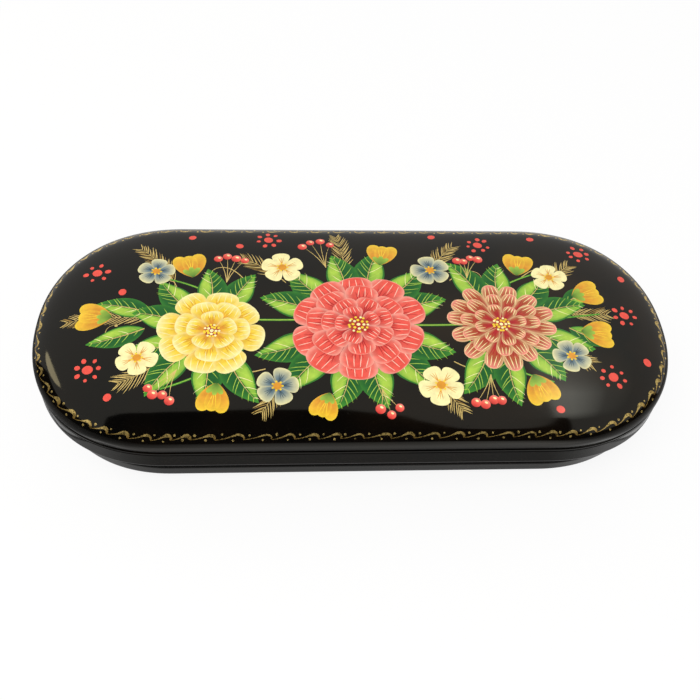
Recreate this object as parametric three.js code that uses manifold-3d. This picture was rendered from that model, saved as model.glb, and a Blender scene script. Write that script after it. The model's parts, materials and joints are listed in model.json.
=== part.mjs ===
import * as THREE from 'three';
import { mergeVertices } from 'three/addons/utils/BufferGeometryUtils.js';
import Module from 'manifold-3d';

// Hinged eyeglass case in lacquered papier-mache, closed. Sizes are in millimetres.
// X runs along the case, +Y is the hinge side, Z is up and the foot stands on z = 0.
// An inset is a distance inward from the lid's outline, measured square to the wall.

// Plan
const CASE_LENGTH = 170;
const CASE_WIDTH = 74.2;
const FULLNESS = 2.2; // 2 gives plain elliptical curves; more makes the ends and the bowl fuller
const END_STEPS = 24;
const SEAT_GAP = 0.3;

// Lid
const LID_RISE = 9;
const CROWN_POWER = 2.2; // how flat the top is
const SHOULDER_POWER = 3.9; // how upright the side is
const LID_WALL = 4;
const LID_CROWN_WALL = 2.8;
const LID_EDGE_ROUND = 0.5;
const CROWN_FLAT = 3;
const DOME_STEPS = 11;
const DOME_GATHER = 1.5; // above 1 brings the steps closer together at the shoulder
const LID_LINING = 1.2;

// Rim band
const RIM_HEIGHT = 6.9;
const RIM_INSET = 0.1;
const RIM_TOP_ROUND = 1;
const RIM_FOOT_ROUND = 0.8;

// Bowl under the rim
const BOWL_STEP = 2.6;
const BOWL_UPRIGHT = 3;
const BOWL_ROUND_HEIGHT = 12;
const BOWL_ROUND_RUN = 13;
const BOWL_FLOOR = 3;
const BOWL_STEPS = 6;

// Collar that enters the lid
const COLLAR_THICKNESS = 1.1;
const COLLAR_RISE = 3.2;
const COLLAR_LEAD = 0.4;
const COLLAR_CLEARANCE = 0.3;
const COLLAR_HEADROOM = 0.7;

// Linings in the base
const FLOOR_PAD = 1.6;
const WALL_LINING = 0.8;
const WALL_LINING_DROP = 1.2;

// Hinges
const HINGE_SPACING = 64;
const HINGE_LENGTH = 18;
const HINGE_SETBACK = 1.5;
const HINGE_CLEARANCE = 0.25;
const KNUCKLES = 5;
const KNUCKLE_GAP = 0.25;
const BARREL_RADIUS = 1.1;
const PIN_RADIUS = 0.45;
const PIN_CLEARANCE = 0.1;
const LEAF_THICKNESS = 0.5;
const LEAF_REACH = 4.2;
const LEAF_CLEARANCE = 0.15;
const OPEN_ANGLE = 105;
const STOP_MARGIN = 3;

// Brads through the hinge leaves
const BRAD_SPACING = 11;
const BRAD_DROP = 2.7;
const BRAD_RADIUS = 0.4;
const BRAD_REACH = 0.9;
const BRAD_HEAD_RADIUS = 0.8;
const BRAD_HEAD = 0.35;
const BRAD_SINK = 0.1;
const BRAD_CLEARANCE = 0.12;

// Heights and insets that follow from the sizes above
const BOWL_TOP = BOWL_ROUND_HEIGHT + BOWL_UPRIGHT;
const RIM_FLOOR = BOWL_TOP + SEAT_GAP;
const RIM_TOP = RIM_FLOOR + RIM_HEIGHT;
const LID_FLOOR = RIM_TOP + SEAT_GAP;
const COLLAR_OUTER = LID_WALL + COLLAR_CLEARANCE;
const COLLAR_INNER = COLLAR_OUTER + COLLAR_THICKNESS;
const COLLAR_TOP = RIM_TOP + COLLAR_RISE;
const SOCKET_DEPTH = COLLAR_TOP - LID_FLOOR + COLLAR_HEADROOM;
const BOWL_OUTER = RIM_INSET + BOWL_STEP;
const BOWL_WALL = COLLAR_INNER - BOWL_OUTER;
const SPINE = (CASE_LENGTH - CASE_WIDTH) / 2;
const CROWN_ANGLE = Math.acos((2 * CROWN_FLAT / CASE_WIDTH) ** (CROWN_POWER / 2));
const HINGE_Y = CASE_WIDTH / 2 - HINGE_SETBACK;
const HINGE_Z = (RIM_TOP + LID_FLOOR) / 2;
const BARREL_SPACE = BARREL_RADIUS + HINGE_CLEARANCE;
const INNER_REACH = LID_WALL - HINGE_SETBACK;

const wasm = await Module();
wasm.setup();
const { Manifold, Mesh } = wasm;

const LACQUER = { color: 0x0c0b0b, roughness: 0.12, metalness: 0 };
const VELVET = { color: 0x86131d, roughness: 0.95, metalness: 0 };
const BRASS = { color: 0xb48a3c, roughness: 0.35, metalness: 1 };
const STEEL = { color: 0x9a9a98, roughness: 0.35, metalness: 1 };

function toSolid(geometry) {
  const bare = new THREE.BufferGeometry();
  bare.setAttribute('position', geometry.getAttribute('position'));
  bare.setIndex(geometry.getIndex());
  const merged = mergeVertices(bare, 1e-4);
  return new Manifold(new Mesh({
    numProp: 3,
    vertProperties: new Float32Array(merged.getAttribute('position').array),
    triVerts: new Uint32Array(merged.getIndex().array),
  }));
}

function toGeometry(solid) {
  const mesh = solid.getMesh();
  const geometry = new THREE.BufferGeometry();
  geometry.setAttribute('position', new THREE.BufferAttribute(mesh.vertProperties, 3));
  geometry.setIndex(new THREE.BufferAttribute(mesh.triVerts, 1));
  return geometry;
}

function joined(geometries) {
  return geometries.map(toSolid).reduce((whole, piece) => whole.add(piece));
}

function without(geometry, cutters) {
  return cutters.map(toSolid).reduce((whole, cutter) => whole.subtract(cutter), toSolid(geometry));
}

function piece(name, geometry, finish) {
  const shaded = geometry.index ? geometry.toNonIndexed() : geometry;
  shaded.computeVertexNormals();
  const mesh = new THREE.Mesh(shaded, new THREE.MeshStandardMaterial(finish));
  mesh.name = name;
  return mesh;
}

// Sine and cosine bent towards a square, which draw the full ends and the full bowl.
function full(value) {
  return Math.sign(value) * Math.abs(value) ** (2 / FULLNESS);
}

// The case outline moved inward, anticlockwise from the front of the right end.
function outline(inset) {
  const radius = CASE_WIDTH / 2 - inset;
  const points = [];
  for (const side of [1, -1]) {
    for (let step = 0; step <= END_STEPS; step += 1) {
      const angle = Math.PI * (step / END_STEPS - 0.5);
      const along = SPINE + radius * full(Math.cos(angle));
      const across = radius * full(Math.sin(angle));
      points.push([side * along, side * across]);
    }
  }
  return points;
}

// A flat face over one ring of a loft, in strips across the case.
function cap(first, count, facesUp) {
  const triangles = [];
  for (let step = 0; step < END_STEPS; step += 1) {
    const right = first + step;
    const left = first + count - 1 - step;
    const strip = [[left, right, right + 1], [left, right + 1, left - 1]];
    triangles.push(...strip.map((corners) => (facesUp ? corners : corners.reverse())));
  }
  return triangles.flat();
}

// A solid through one outline per [inset, height] of its section. The section runs down the outside, across
// and up the inside. An open one closes with a flat face at each end, and a ring joins its end to its start.
function loft(section, isRing) {
  const rings = section.map(([inset, height]) => outline(inset).map(([x, y]) => [x, y, height]));
  const count = rings[0].length;
  const triangles = [];
  const bands = isRing ? rings.length : rings.length - 1;
  for (let band = 0; band < bands; band += 1) {
    const here = band * count;
    const after = ((band + 1) % rings.length) * count;
    for (let step = 0; step < count; step += 1) {
      const next = (step + 1) % count;
      triangles.push(here + step, after + step, after + next);
      triangles.push(here + step, after + next, here + next);
    }
  }
  if (!isRing) {
    triangles.push(...cap(0, count, true));
    triangles.push(...cap((rings.length - 1) * count, count, false));
  }
  const geometry = new THREE.BufferGeometry();
  geometry.setAttribute('position', new THREE.Float32BufferAttribute(rings.flat(2), 3));
  geometry.setIndex(triangles);
  return geometry;
}

// Evenly spaced values from one number to another, both included.
function spread(from, to, steps) {
  return Array.from({ length: steps + 1 }, (_, step) => from + (to - from) * step / steps);
}

// A quarter round of a section about [inset, height], from one angle to another in degrees.
function quarterRound(inset, height, radius, from, to) {
  return spread(from, to, 3).map((degrees) => {
    const angle = THREE.MathUtils.degToRad(degrees);
    return [inset - radius * Math.cos(angle), height + radius * Math.sin(angle)];
  });
}

// A point of the lid's outside, or of a surface inside it, at an angle from rim to crown. The surface lies
// one depth inside the lid's side and another depth under its crown.
function domePoint(angle, side, crown) {
  const run = CASE_WIDTH / 2 - side;
  const inset = side + run * (1 - Math.cos(angle) ** (2 / CROWN_POWER));
  return [inset, LID_FLOOR + (LID_RISE - crown) * Math.sin(angle) ** (2 / SHOULDER_POWER)];
}

// The angle at which such a surface is at a height above the lid's rim face.
function domeAngle(height, crown) {
  return Math.asin((height / (LID_RISE - crown)) ** (SHOULDER_POWER / 2));
}

function domeCurve(height, side, crown) {
  const start = domeAngle(height, crown);
  return spread(0, 1, DOME_STEPS).map((share) => (
    domePoint(start + (CROWN_ANGLE - start) * share ** DOME_GATHER, side, crown)));
}

// A point of the bowl's rounded side, or of a surface inside it, at an angle from side to floor.
function bowlPoint(angle, depth, floorDepth) {
  const run = BOWL_ROUND_RUN - depth;
  const inset = BOWL_OUTER + depth + run * (1 - full(Math.cos(angle)));
  return [inset, BOWL_ROUND_HEIGHT - (BOWL_ROUND_HEIGHT - floorDepth) * full(Math.sin(angle))];
}

function bowlCurve(depth, floorDepth) {
  return spread(0, Math.PI / 2, BOWL_STEPS).map((angle) => bowlPoint(angle, depth, floorDepth));
}

function lidShellGeometry() {
  const outside = domeCurve(LID_EDGE_ROUND, 0, 0).reverse();
  const edge = quarterRound(LID_EDGE_ROUND, LID_FLOOR + LID_EDGE_ROUND, LID_EDGE_ROUND, 0, -90);
  const socket = [[LID_WALL, LID_FLOOR], [LID_WALL, LID_FLOOR + SOCKET_DEPTH]];
  const inside = domeCurve(SOCKET_DEPTH, LID_WALL, LID_CROWN_WALL);
  return loft([...outside, ...edge.slice(1), ...socket, ...inside], false);
}

function lidLiningGeometry() {
  const side = LID_WALL + SEAT_GAP;
  const crown = LID_CROWN_WALL + SEAT_GAP;
  const outside = domeCurve(SOCKET_DEPTH, side, crown).reverse();
  const inside = domeCurve(SOCKET_DEPTH, side + LID_LINING, crown + LID_LINING);
  return loft([...outside, ...inside], false);
}

function rimGeometry() {
  const topRound = quarterRound(
    RIM_INSET + RIM_TOP_ROUND, RIM_TOP - RIM_TOP_ROUND, RIM_TOP_ROUND, 90, 0);
  const footRound = quarterRound(
    RIM_INSET + RIM_FOOT_ROUND, RIM_FLOOR + RIM_FOOT_ROUND, RIM_FOOT_ROUND, 0, -90);
  return loft([...topRound, ...footRound, [LID_WALL, RIM_FLOOR], [LID_WALL, RIM_TOP]], true);
}

function bowlGeometry() {
  const inside = bowlCurve(BOWL_WALL, BOWL_FLOOR).reverse();
  const mouth = [[COLLAR_INNER, BOWL_TOP], [BOWL_OUTER, BOWL_TOP]];
  return loft([...inside, ...mouth, ...bowlCurve(0, 0)], false);
}

function collarGeometry() {
  const foot = BOWL_TOP + SEAT_GAP;
  return loft([
    [COLLAR_OUTER + COLLAR_LEAD, COLLAR_TOP],
    [COLLAR_OUTER, COLLAR_TOP - COLLAR_LEAD],
    [COLLAR_OUTER, foot],
    [COLLAR_INNER, foot],
    [COLLAR_INNER, COLLAR_TOP],
  ], true);
}

function floorLiningGeometry() {
  const under = bowlCurve(BOWL_WALL + SEAT_GAP, BOWL_FLOOR + SEAT_GAP);
  const above = bowlCurve(BOWL_WALL + SEAT_GAP + FLOOR_PAD, BOWL_FLOOR + SEAT_GAP + FLOOR_PAD);
  return loft([...above.reverse(), ...under], false);
}

function wallLiningGeometry() {
  const outer = COLLAR_INNER + SEAT_GAP;
  const inner = outer + WALL_LINING;
  const foot = BOWL_ROUND_HEIGHT + SEAT_GAP;
  const top = COLLAR_TOP - WALL_LINING_DROP;
  return loft([[outer, top], [outer, foot], [inner, foot], [inner, top]], true);
}

function rodAlongX(radius, length, sides, x) {
  return new THREE.CylinderGeometry(radius, radius, length, sides).rotateZ(Math.PI / 2).translate(x, 0, 0);
}

function rodAlongY(radius, from, to, sides, x, z) {
  return new THREE.CylinderGeometry(radius, radius, to - from, sides).translate(x, (from + to) / 2, z);
}

// Hinge pieces are drawn about the pin along X, with the leaf hanging towards -Z and the inside of the case
// towards +Y. The base half is turned about Z, and the lid half about X, to face the inside.
const BRAD_PLACES = [-BRAD_SPACING / 2, BRAD_SPACING / 2];

function leafGeometry(firstKnuckle) {
  const pitch = HINGE_LENGTH / KNUCKLES;
  const knuckleLength = pitch - KNUCKLE_GAP;
  const plate = new THREE.BoxGeometry(HINGE_LENGTH, LEAF_THICKNESS, LEAF_REACH - BARREL_SPACE);
  plate.translate(0, 0, -(LEAF_REACH + BARREL_SPACE) / 2);
  const solids = [plate];
  for (let knuckle = firstKnuckle; knuckle < KNUCKLES; knuckle += 2) {
    const x = (knuckle - (KNUCKLES - 1) / 2) * pitch;
    const tabHeight = (LEAF_REACH + BARREL_SPACE) / 2;
    const tab = new THREE.BoxGeometry(knuckleLength, LEAF_THICKNESS, tabHeight);
    solids.push(rodAlongX(BARREL_RADIUS, knuckleLength, 20, x));
    solids.push(tab.translate(x, 0, -tabHeight / 2));
  }
  const bore = rodAlongX(PIN_RADIUS + PIN_CLEARANCE, HINGE_LENGTH + 1, 16, 0);
  const holes = BRAD_PLACES.map((x) => (
    rodAlongY(BRAD_RADIUS + BRAD_CLEARANCE, -LEAF_THICKNESS, LEAF_THICKNESS, 12, x, -BRAD_DROP)));
  const cutters = [bore, ...holes].map(toSolid);
  return toGeometry(cutters.reduce((leaf, hole) => leaf.subtract(hole), joined(solids)));
}

function bradGeometry(headOut) {
  const shank = rodAlongY(BRAD_RADIUS, -BRAD_REACH, headOut - BRAD_HEAD / 2, 10, 0, 0);
  const head = rodAlongY(BRAD_HEAD_RADIUS, headOut - BRAD_HEAD, headOut, 14, 0, 0);
  return toGeometry(joined([shank, head]));
}

// The room that one half of a hinge needs in the wall: barrel recess, leaf slot and brad holes.
function hingeRoom(headOut) {
  const recess = rodAlongX(BARREL_SPACE, HINGE_LENGTH + 2 * HINGE_CLEARANCE, 24, 0);
  const depth = LEAF_REACH + LEAF_CLEARANCE;
  const slot = new THREE.BoxGeometry(
    HINGE_LENGTH + 2 * LEAF_CLEARANCE, LEAF_THICKNESS + 2 * LEAF_CLEARANCE, depth);
  slot.translate(0, 0, -depth / 2);
  const holes = BRAD_PLACES.flatMap((x) => [
    rodAlongY(BRAD_RADIUS + BRAD_CLEARANCE, -BRAD_REACH - BRAD_CLEARANCE, headOut, 12, x, -BRAD_DROP),
    rodAlongY(BRAD_HEAD_RADIUS + BRAD_CLEARANCE, headOut - BRAD_HEAD - BRAD_CLEARANCE,
      headOut + 2 * INNER_REACH, 16, x, -BRAD_DROP),
  ]);
  return toGeometry(joined([recess, slot, ...holes]));
}

// The bevel behind the hinge line. The bevels of rim and lid meet when the lid is fully open.
function hingeBevel(upward) {
  const depth = HINGE_SETBACK + 1;
  const drop = depth * Math.tan(THREE.MathUtils.degToRad((OPEN_ANGLE + STOP_MARGIN) / 2));
  const shape = new THREE.Shape();
  shape.moveTo(0, 0);
  shape.lineTo(depth, upward * drop);
  shape.lineTo(depth, -upward);
  shape.lineTo(0, -upward);
  shape.closePath();
  const prism = new THREE.ExtrudeGeometry(shape, { depth: CASE_LENGTH, bevelEnabled: false });
  const lying = new THREE.Matrix4().makeBasis(
    new THREE.Vector3(0, 1, 0), new THREE.Vector3(0, 0, 1), new THREE.Vector3(1, 0, 0));
  const bevel = toGeometry(toSolid(indexed(prism.applyMatrix4(lying))));
  return bevel.translate(-CASE_LENGTH / 2, HINGE_Y, HINGE_Z);
}

function indexed(geometry) {
  const bare = new THREE.BufferGeometry();
  bare.setAttribute('position', geometry.getAttribute('position'));
  return mergeVertices(bare, 1e-4);
}

// The lid leaf leans so that its tip lies in the middle of the curving lid wall.
function lidLeafLean() {
  const [outside] = domePoint(domeAngle(LEAF_REACH, 0), 0, 0);
  return Math.asin((outside + LID_WALL / 2 - HINGE_SETBACK) / LEAF_REACH);
}

const LEAN = lidLeafLean();
const BASE_TURN = new THREE.Euler(0, 0, Math.PI);
const LID_TURN = new THREE.Euler(Math.PI + LEAN, 0, 0);
const BASE_HEAD_OUT = INNER_REACH - BRAD_SINK;
const LID_HEAD_OUT = (INNER_REACH - BRAD_SINK - BRAD_DROP * Math.sin(LEAN)
  - BRAD_HEAD_RADIUS * Math.sin(LEAN)) / Math.cos(LEAN);
const HINGE_SIDES = [['left', -HINGE_SPACING / 2], ['right', HINGE_SPACING / 2]];

function hingeRooms(turn, headOut) {
  const placed = new THREE.Matrix4().makeRotationFromEuler(turn);
  return HINGE_SIDES.map(([, x]) => (
    hingeRoom(headOut).applyMatrix4(placed).translate(x, HINGE_Y, HINGE_Z)));
}

function hingeHalf(side, x, half, turn, firstKnuckle, headOut) {
  const group = new THREE.Group();
  group.position.set(x, HINGE_Y, HINGE_Z);
  group.rotation.copy(turn);
  group.add(piece(`${side}_${half}_leaf`, leafGeometry(firstKnuckle), BRASS));
  BRAD_PLACES.forEach((place, number) => {
    const brad = piece(`${side}_${half}_brad_${number + 1}`, bradGeometry(headOut), BRASS);
    brad.position.set(place, 0, -BRAD_DROP);
    group.add(brad);
  });
  return group;
}

function lid() {
  const group = new THREE.Group();
  const cutters = [...hingeRooms(LID_TURN, LID_HEAD_OUT), hingeBevel(1)];
  group.add(piece('lid_shell', toGeometry(without(lidShellGeometry(), cutters)), LACQUER));
  group.add(piece('lid_lining', lidLiningGeometry(), VELVET));
  HINGE_SIDES.forEach(([side, x]) => group.add(hingeHalf(side, x, 'lid', LID_TURN, 1, LID_HEAD_OUT)));
  return group;
}

function base() {
  const group = new THREE.Group();
  const cutters = [...hingeRooms(BASE_TURN, BASE_HEAD_OUT), hingeBevel(-1)];
  group.add(piece('base_rim', toGeometry(without(rimGeometry(), cutters)), LACQUER));
  group.add(piece('base_bowl', bowlGeometry(), LACQUER));
  group.add(piece('locating_collar', collarGeometry(), LACQUER));
  group.add(piece('floor_lining', floorLiningGeometry(), VELVET));
  group.add(piece('wall_lining', wallLiningGeometry(), VELVET));
  HINGE_SIDES.forEach(([side, x]) => {
    group.add(hingeHalf(side, x, 'base', BASE_TURN, 0, BASE_HEAD_OUT));
    const pin = piece(`${side}_hinge_pin`, rodAlongX(PIN_RADIUS, HINGE_LENGTH, 14, 0), STEEL);
    pin.position.set(x, HINGE_Y, HINGE_Z);
    group.add(pin);
  });
  return group;
}

const eyeglassCase = new THREE.Group();
eyeglassCase.name = 'eyeglass_case';
eyeglassCase.add(base(), lid());

export default eyeglassCase;
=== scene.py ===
"""Lacquered eyeglass case: the finish of every piece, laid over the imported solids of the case."""

import functools
import json
import math
import random

import bmesh
import bpy
import numpy as np
from bpy.props import FloatProperty, FloatVectorProperty, PointerProperty
from mathutils import Matrix, Vector, noise


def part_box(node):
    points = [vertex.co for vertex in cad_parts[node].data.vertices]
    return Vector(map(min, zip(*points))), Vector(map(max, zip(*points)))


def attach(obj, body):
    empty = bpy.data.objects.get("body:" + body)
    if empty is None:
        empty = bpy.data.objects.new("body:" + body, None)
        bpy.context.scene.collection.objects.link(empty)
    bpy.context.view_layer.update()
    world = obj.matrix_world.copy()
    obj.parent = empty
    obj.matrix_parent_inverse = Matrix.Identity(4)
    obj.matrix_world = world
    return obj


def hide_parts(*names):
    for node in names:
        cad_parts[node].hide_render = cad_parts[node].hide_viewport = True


bl_info = {
    "name": "Lacquered Eyeglass Case",
    "version": (1, 0, 0),
    "blender": (4, 5, 0),
    "location": "View3D > Sidebar > Eyeglass Case",
    "description": "Builds a hinged eyeglass case in painted black lacquer with a velvet lining",
    "category": "Object",
}

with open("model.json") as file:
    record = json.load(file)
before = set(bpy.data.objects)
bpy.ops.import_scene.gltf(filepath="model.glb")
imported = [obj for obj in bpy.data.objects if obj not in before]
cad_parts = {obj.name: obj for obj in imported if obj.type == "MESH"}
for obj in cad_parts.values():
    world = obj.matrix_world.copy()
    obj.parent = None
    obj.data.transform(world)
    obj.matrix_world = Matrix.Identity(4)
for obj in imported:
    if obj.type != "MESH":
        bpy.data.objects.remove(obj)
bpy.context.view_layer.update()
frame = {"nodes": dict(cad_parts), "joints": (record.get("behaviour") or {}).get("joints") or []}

MM = 0.001
LID_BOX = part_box("lid_shell")
RIM_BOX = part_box("base_rim")
BOWL_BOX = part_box("base_bowl")
COLLAR_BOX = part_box("locating_collar")
HINGE_AXIS = frame["joints"][0]["pos_m"]
PHOTO_WIDTH = 700


def linear(red, green, blue):
    """A screen colour in 0 to 255 as the linear values that shaders take."""
    shares = [value / 255 for value in (red, green, blue)]
    return tuple(s / 12.92 if s < 0.04 else ((s + 0.055) / 1.055) ** 2.4 for s in shares)


def length_property(label, note, default):
    """A length in metres that a user can change."""
    return FloatProperty(name=label, description=note, default=default, unit="LENGTH", precision=5)


def number_property(label, note, default, **limits):
    """A plain number that a user can change."""
    return FloatProperty(name=label, description=note, default=default, **limits)


def angle_property(label, note, degrees):
    """An angle that a user can change."""
    return FloatProperty(name=label, description=note, default=math.radians(degrees), subtype="ANGLE")


def colour_property(label, note, default):
    """A colour that a user can change."""
    return FloatVectorProperty(
        name=label, description=note, default=default, size=3, subtype="COLOR", min=0, max=1
    )


class CaseSizes(bpy.types.PropertyGroup):
    """Sizes of the shells, linings and hinges."""

    length: length_property("Length", "Length of the closed case", 170 * MM)
    width: length_property("Width", "Width of the closed case", 74.2 * MM)
    fullness: number_property("Fullness", "Power of the end and bowl curves, 2 for ellipses", 2.2)
    lid_floor: length_property("Lid floor", "Height of the lid's lower edge", LID_BOX[0].z)
    lid_rise: length_property("Lid rise", "Height of the crown above the lid floor", 9 * MM)
    crown_power: number_property("Crown", "How flat the lid's top is", 2.2)
    shoulder_power: number_property("Shoulder", "How upright the lid's side is", 3.9)
    lid_wall: length_property("Lid wall", "Thickness of the lid's side", 4 * MM)
    lid_crown_wall: length_property("Crown wall", "Thickness of the lid's top", 2.8 * MM)
    lid_edge_round: length_property("Lid edge", "Rounding of the lid's lower edge", 0.7 * MM)
    lid_lining: length_property("Lid lining", "Thickness of the velvet in the lid", 1.2 * MM)
    rim_floor: length_property("Rim floor", "Height of the rim band's lower edge", RIM_BOX[0].z)
    rim_top: length_property("Rim top", "Height of the rim band's upper edge", RIM_BOX[1].z)
    rim_inset: length_property("Rim inset", "Rim band's setback behind the lid", 0.1 * MM)
    lip_height: length_property("Lip height", "Height of the fine lip along the rim's top", 0.75 * MM)
    lip_round: length_property("Lip round", "Rounding of the lip's upper edge", 0.45 * MM)
    lip_groove: length_property("Lip groove", "Height of the scribed groove under the lip", 0.35 * MM)
    lip_groove_depth: length_property("Groove depth", "Depth of the scribed groove", 0.3 * MM)
    rim_bevel_foot: length_property("Rim bevel", "Lower edge of the rim's bevel above its floor", 1.15 * MM)
    rim_bevel: length_property("Bevel height", "Height of the bevel along the rim's foot", 0.28 * MM)
    rim_bevel_inset: length_property("Bevel inset", "How far the rim's bevel leans in", 0.068 * MM)
    bowl_top: length_property("Bowl top", "Height of the bowl's mouth", BOWL_BOX[1].z)
    bowl_step: length_property("Bowl step", "Setback of the bowl under the rim", 2.6 * MM)
    bowl_round_height: length_property("Bowl round", "Height of the bowl's rounded foot", 12 * MM)
    bowl_round_run: length_property("Bowl run", "Run of the bowl's rounded foot", 13 * MM)
    bowl_floor: length_property("Bowl floor", "Thickness of the bowl's floor", 3 * MM)
    collar_top: length_property("Collar top", "Height of the collar that enters the lid", COLLAR_BOX[1].z)
    collar_thickness: length_property("Collar", "Thickness of the locating collar", 1.1 * MM)
    collar_clearance: length_property("Collar clearance", "Gap from the collar to the lid wall", 0.3 * MM)
    collar_headroom: length_property("Collar headroom", "Gap from the collar to the lid lining", 0.7 * MM)
    collar_lead: length_property("Collar lead", "Chamfer that leads the collar in", 0.4 * MM)
    seat_gap: length_property("Seat gap", "Gap between pieces that touch", 0.3 * MM)
    floor_pad: length_property("Floor pad", "Thickness of the pad in the bowl", 1.6 * MM)
    wall_lining: length_property("Wall lining", "Thickness of the velvet on the wall", 0.8 * MM)
    wall_lining_drop: length_property("Wall drop", "Wall velvet's drop below the collar", 1.2 * MM)
    hinge_spacing: length_property("Hinge spacing", "Distance between the two hinges", 64 * MM)
    hinge_length: length_property("Hinge length", "Length of one hinge", 18 * MM)
    barrel_radius: length_property("Barrel radius", "Radius of the hinge knuckles", 1.1 * MM)
    barrel_clearance: length_property("Barrel clearance", "Room around the knuckles", 0.25 * MM)
    leaf_thickness: length_property("Leaf", "Thickness of a hinge leaf", 0.5 * MM)
    leaf_reach: length_property("Leaf reach", "Reach of a leaf from the pin", 4.2 * MM)
    leaf_clearance: length_property("Leaf clearance", "Room around a leaf in its slot", 0.15 * MM)
    brad_spacing: length_property("Brad spacing", "Distance between a leaf's brads", 11 * MM)
    brad_drop: length_property("Brad drop", "Distance from the pin to the brads", 2.7 * MM)
    brad_room: length_property("Brad room", "Radius of the countersink of a brad", 0.92 * MM)
    brad_head: length_property("Brad head", "Radius of a brad's head", 0.8 * MM)
    brad_head_room: length_property("Brad head room", "Depth of the countersink of a brad", 0.47 * MM)
    brad_sink: length_property("Brad sink", "Depth of a brad's head below the wall's face", 0.1 * MM)
    bevel_depth: length_property("Bevel depth", "Reach of the bevels behind the hinge line", 2.5 * MM)
    bevel_angle: angle_property("Back bevel", "Slope of the bevels that stop the open lid", 54)


class PaintColours(bpy.types.PropertyGroup):
    """Colours of the lacquer and of the painting on the lid."""

    lacquer: colour_property("Lacquer", "Black ground", linear(5, 4.5, 4))
    umber: colour_property("Umber", "Warm haze in the ground", linear(36, 24, 12))
    gold_dark: colour_property("Dark gold", "Thin gold line", linear(158, 126, 62))
    gold_light: colour_property("Light gold", "Thick gold line", linear(214, 186, 112))
    crimson: colour_property("Crimson", "Shade of the red flowers", linear(176, 34, 40))
    coral: colour_property("Coral", "Red flowers, dots and berries", linear(238, 86, 73))
    salmon: colour_property("Salmon", "Light of the red flowers", linear(247, 148, 132))
    blush: colour_property("Blush", "Petal rims", linear(255, 208, 188))
    cream: colour_property("Cream", "Pale flowers and lights", linear(253, 243, 178))
    yellow: colour_property("Yellow", "Flower hearts", linear(248, 214, 60))
    ochre: colour_property("Ochre", "Buds", linear(224, 152, 48))
    terracotta: colour_property("Terracotta", "Shade of the buds", linear(178, 82, 46))
    slate: colour_property("Slate", "Blue flowers", linear(96, 122, 136))
    forest: colour_property("Forest", "Dark side of leaves", linear(20, 92, 38))
    grass: colour_property("Grass", "Light side of leaves", linear(76, 156, 46))
    lime: colour_property("Lime", "Lights of leaves", linear(178, 212, 78))


class FinishSettings(bpy.types.PropertyGroup):
    """Gloss of the lacquer, paint, velvet and metals."""

    gloss: number_property("Gloss", "Roughness of the varnish", 0.07, min=0, max=1)
    varnish_ior: number_property("Varnish index", "Index of refraction on the lid", 1.42)
    base_ior: number_property("Base index", "Index of refraction on the base", 1.36)
    varnish_tint: colour_property("Varnish tint", "Amber cast of the varnish's shine", (1, 0.96, 0.84))
    velvet: colour_property("Velvet", "Lining", linear(140, 20, 30))
    brass: colour_property("Brass", "Hinge leaves and brads", linear(205, 165, 90))
    steel: colour_property("Steel", "Hinge pins", linear(165, 165, 162))


class BorderSizes(bpy.types.PropertyGroup):
    """Sizes of the gold running wave on the lid's shoulder. Its insets are distances inside the outline."""

    front_inset: length_property("Front inset", "Border's inset in front", 1.36 * MM)
    back_inset: length_property("Back inset", "Border's inset at the back", 3.2 * MM)
    left_inset: length_property("Left inset", "Border's inset at the left end", 1.7 * MM)
    right_inset: length_property("Right inset", "Border's inset at the right end", 2.2 * MM)
    pitch: length_property("Pitch", "Length of a wave on the long sides", 6.25 * MM)
    end_pitch: number_property("End pitch", "Share of the pitch on the round ends", 0.82)
    end_load: number_property("End load", "How much fuller the waves are on the ends", 1.6)
    height: length_property("Wave height", "Height of a wave along the surface", 1.34 * MM)
    thin: length_property("Thin stroke", "Width of the line on the rise", 0.16 * MM)
    thick: length_property("Thick stroke", "Width of the line at the crest", 0.66 * MM)
    dot: length_property("Dot", "Diameter of the dots beside the wave", 0.58 * MM)


class StageSettings(bpy.types.PropertyGroup):
    """Camera, floor and light."""

    target: FloatVectorProperty(
        name="Target", description="Point that the camera turns about", default=(0, 0, 25.5 * MM),
        subtype="XYZ",
    )
    distance: length_property("Distance", "From the camera to the target", 240.77 * MM)
    azimuth: angle_property("Azimuth", "Camera's turn about the case", -6.454)
    elevation: angle_property("Elevation", "Camera's height", 50.239)
    roll: angle_property("Roll", "Camera's turn about its own axis", 4.887)
    lens: number_property("Lens", "Focal length in mm", 45.81)
    axis_x: number_property("Axis x", "Photograph pixel on the lens axis", 356.46, subtype="PIXEL")
    axis_y: number_property("Axis y", "Photograph pixel on the lens axis", 327.48, subtype="PIXEL")
    floor: colour_property("Floor", "Colour of the table", (0.97, 0.97, 0.97))
    floor_white: number_property("Floor white", "Share of plain white in the seen table", 0.88, min=0, max=1)
    ceiling: number_property("Ceiling", "Light from overhead, where the walls are 1", 0.62)
    key_power: number_property("Key", "Power of the soft key lamp", 6.8, subtype="POWER")
    strip_power: number_property("Strip", "Power of the side strip lamp", 0.18, subtype="POWER")


# Shapes of the case. Edges are sharp above an angle in degrees.

END_STEPS = 96
SIDE_STEPS = 40
ROUND_STEPS = 13
LID_STEPS = 46
LINING_STEPS = 26
BOWL_STEPS = 16
PAD_STEPS = 8
CROWN_RADIUS = 0.4 * MM
SHOULDER_GATHER = 1.6
SHELL_SHARP = 35
RIM_SHARP = 9
SOFT_SHARP = 60
LINING_ROLL = 0.25 * MM
PAD_CROWN = 0.5 * MM
LID_SWELL = 0.12 * MM
LID_SWELL_SCALE = 130
PAD_SWELL = 0.1 * MM
PAD_SWELL_SCALE = 150


def full(value, power):
    """Sine or cosine bent towards a square, which draws the full ends and the full bowl."""
    return np.sign(value) * np.abs(value) ** (2 / power)


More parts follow.
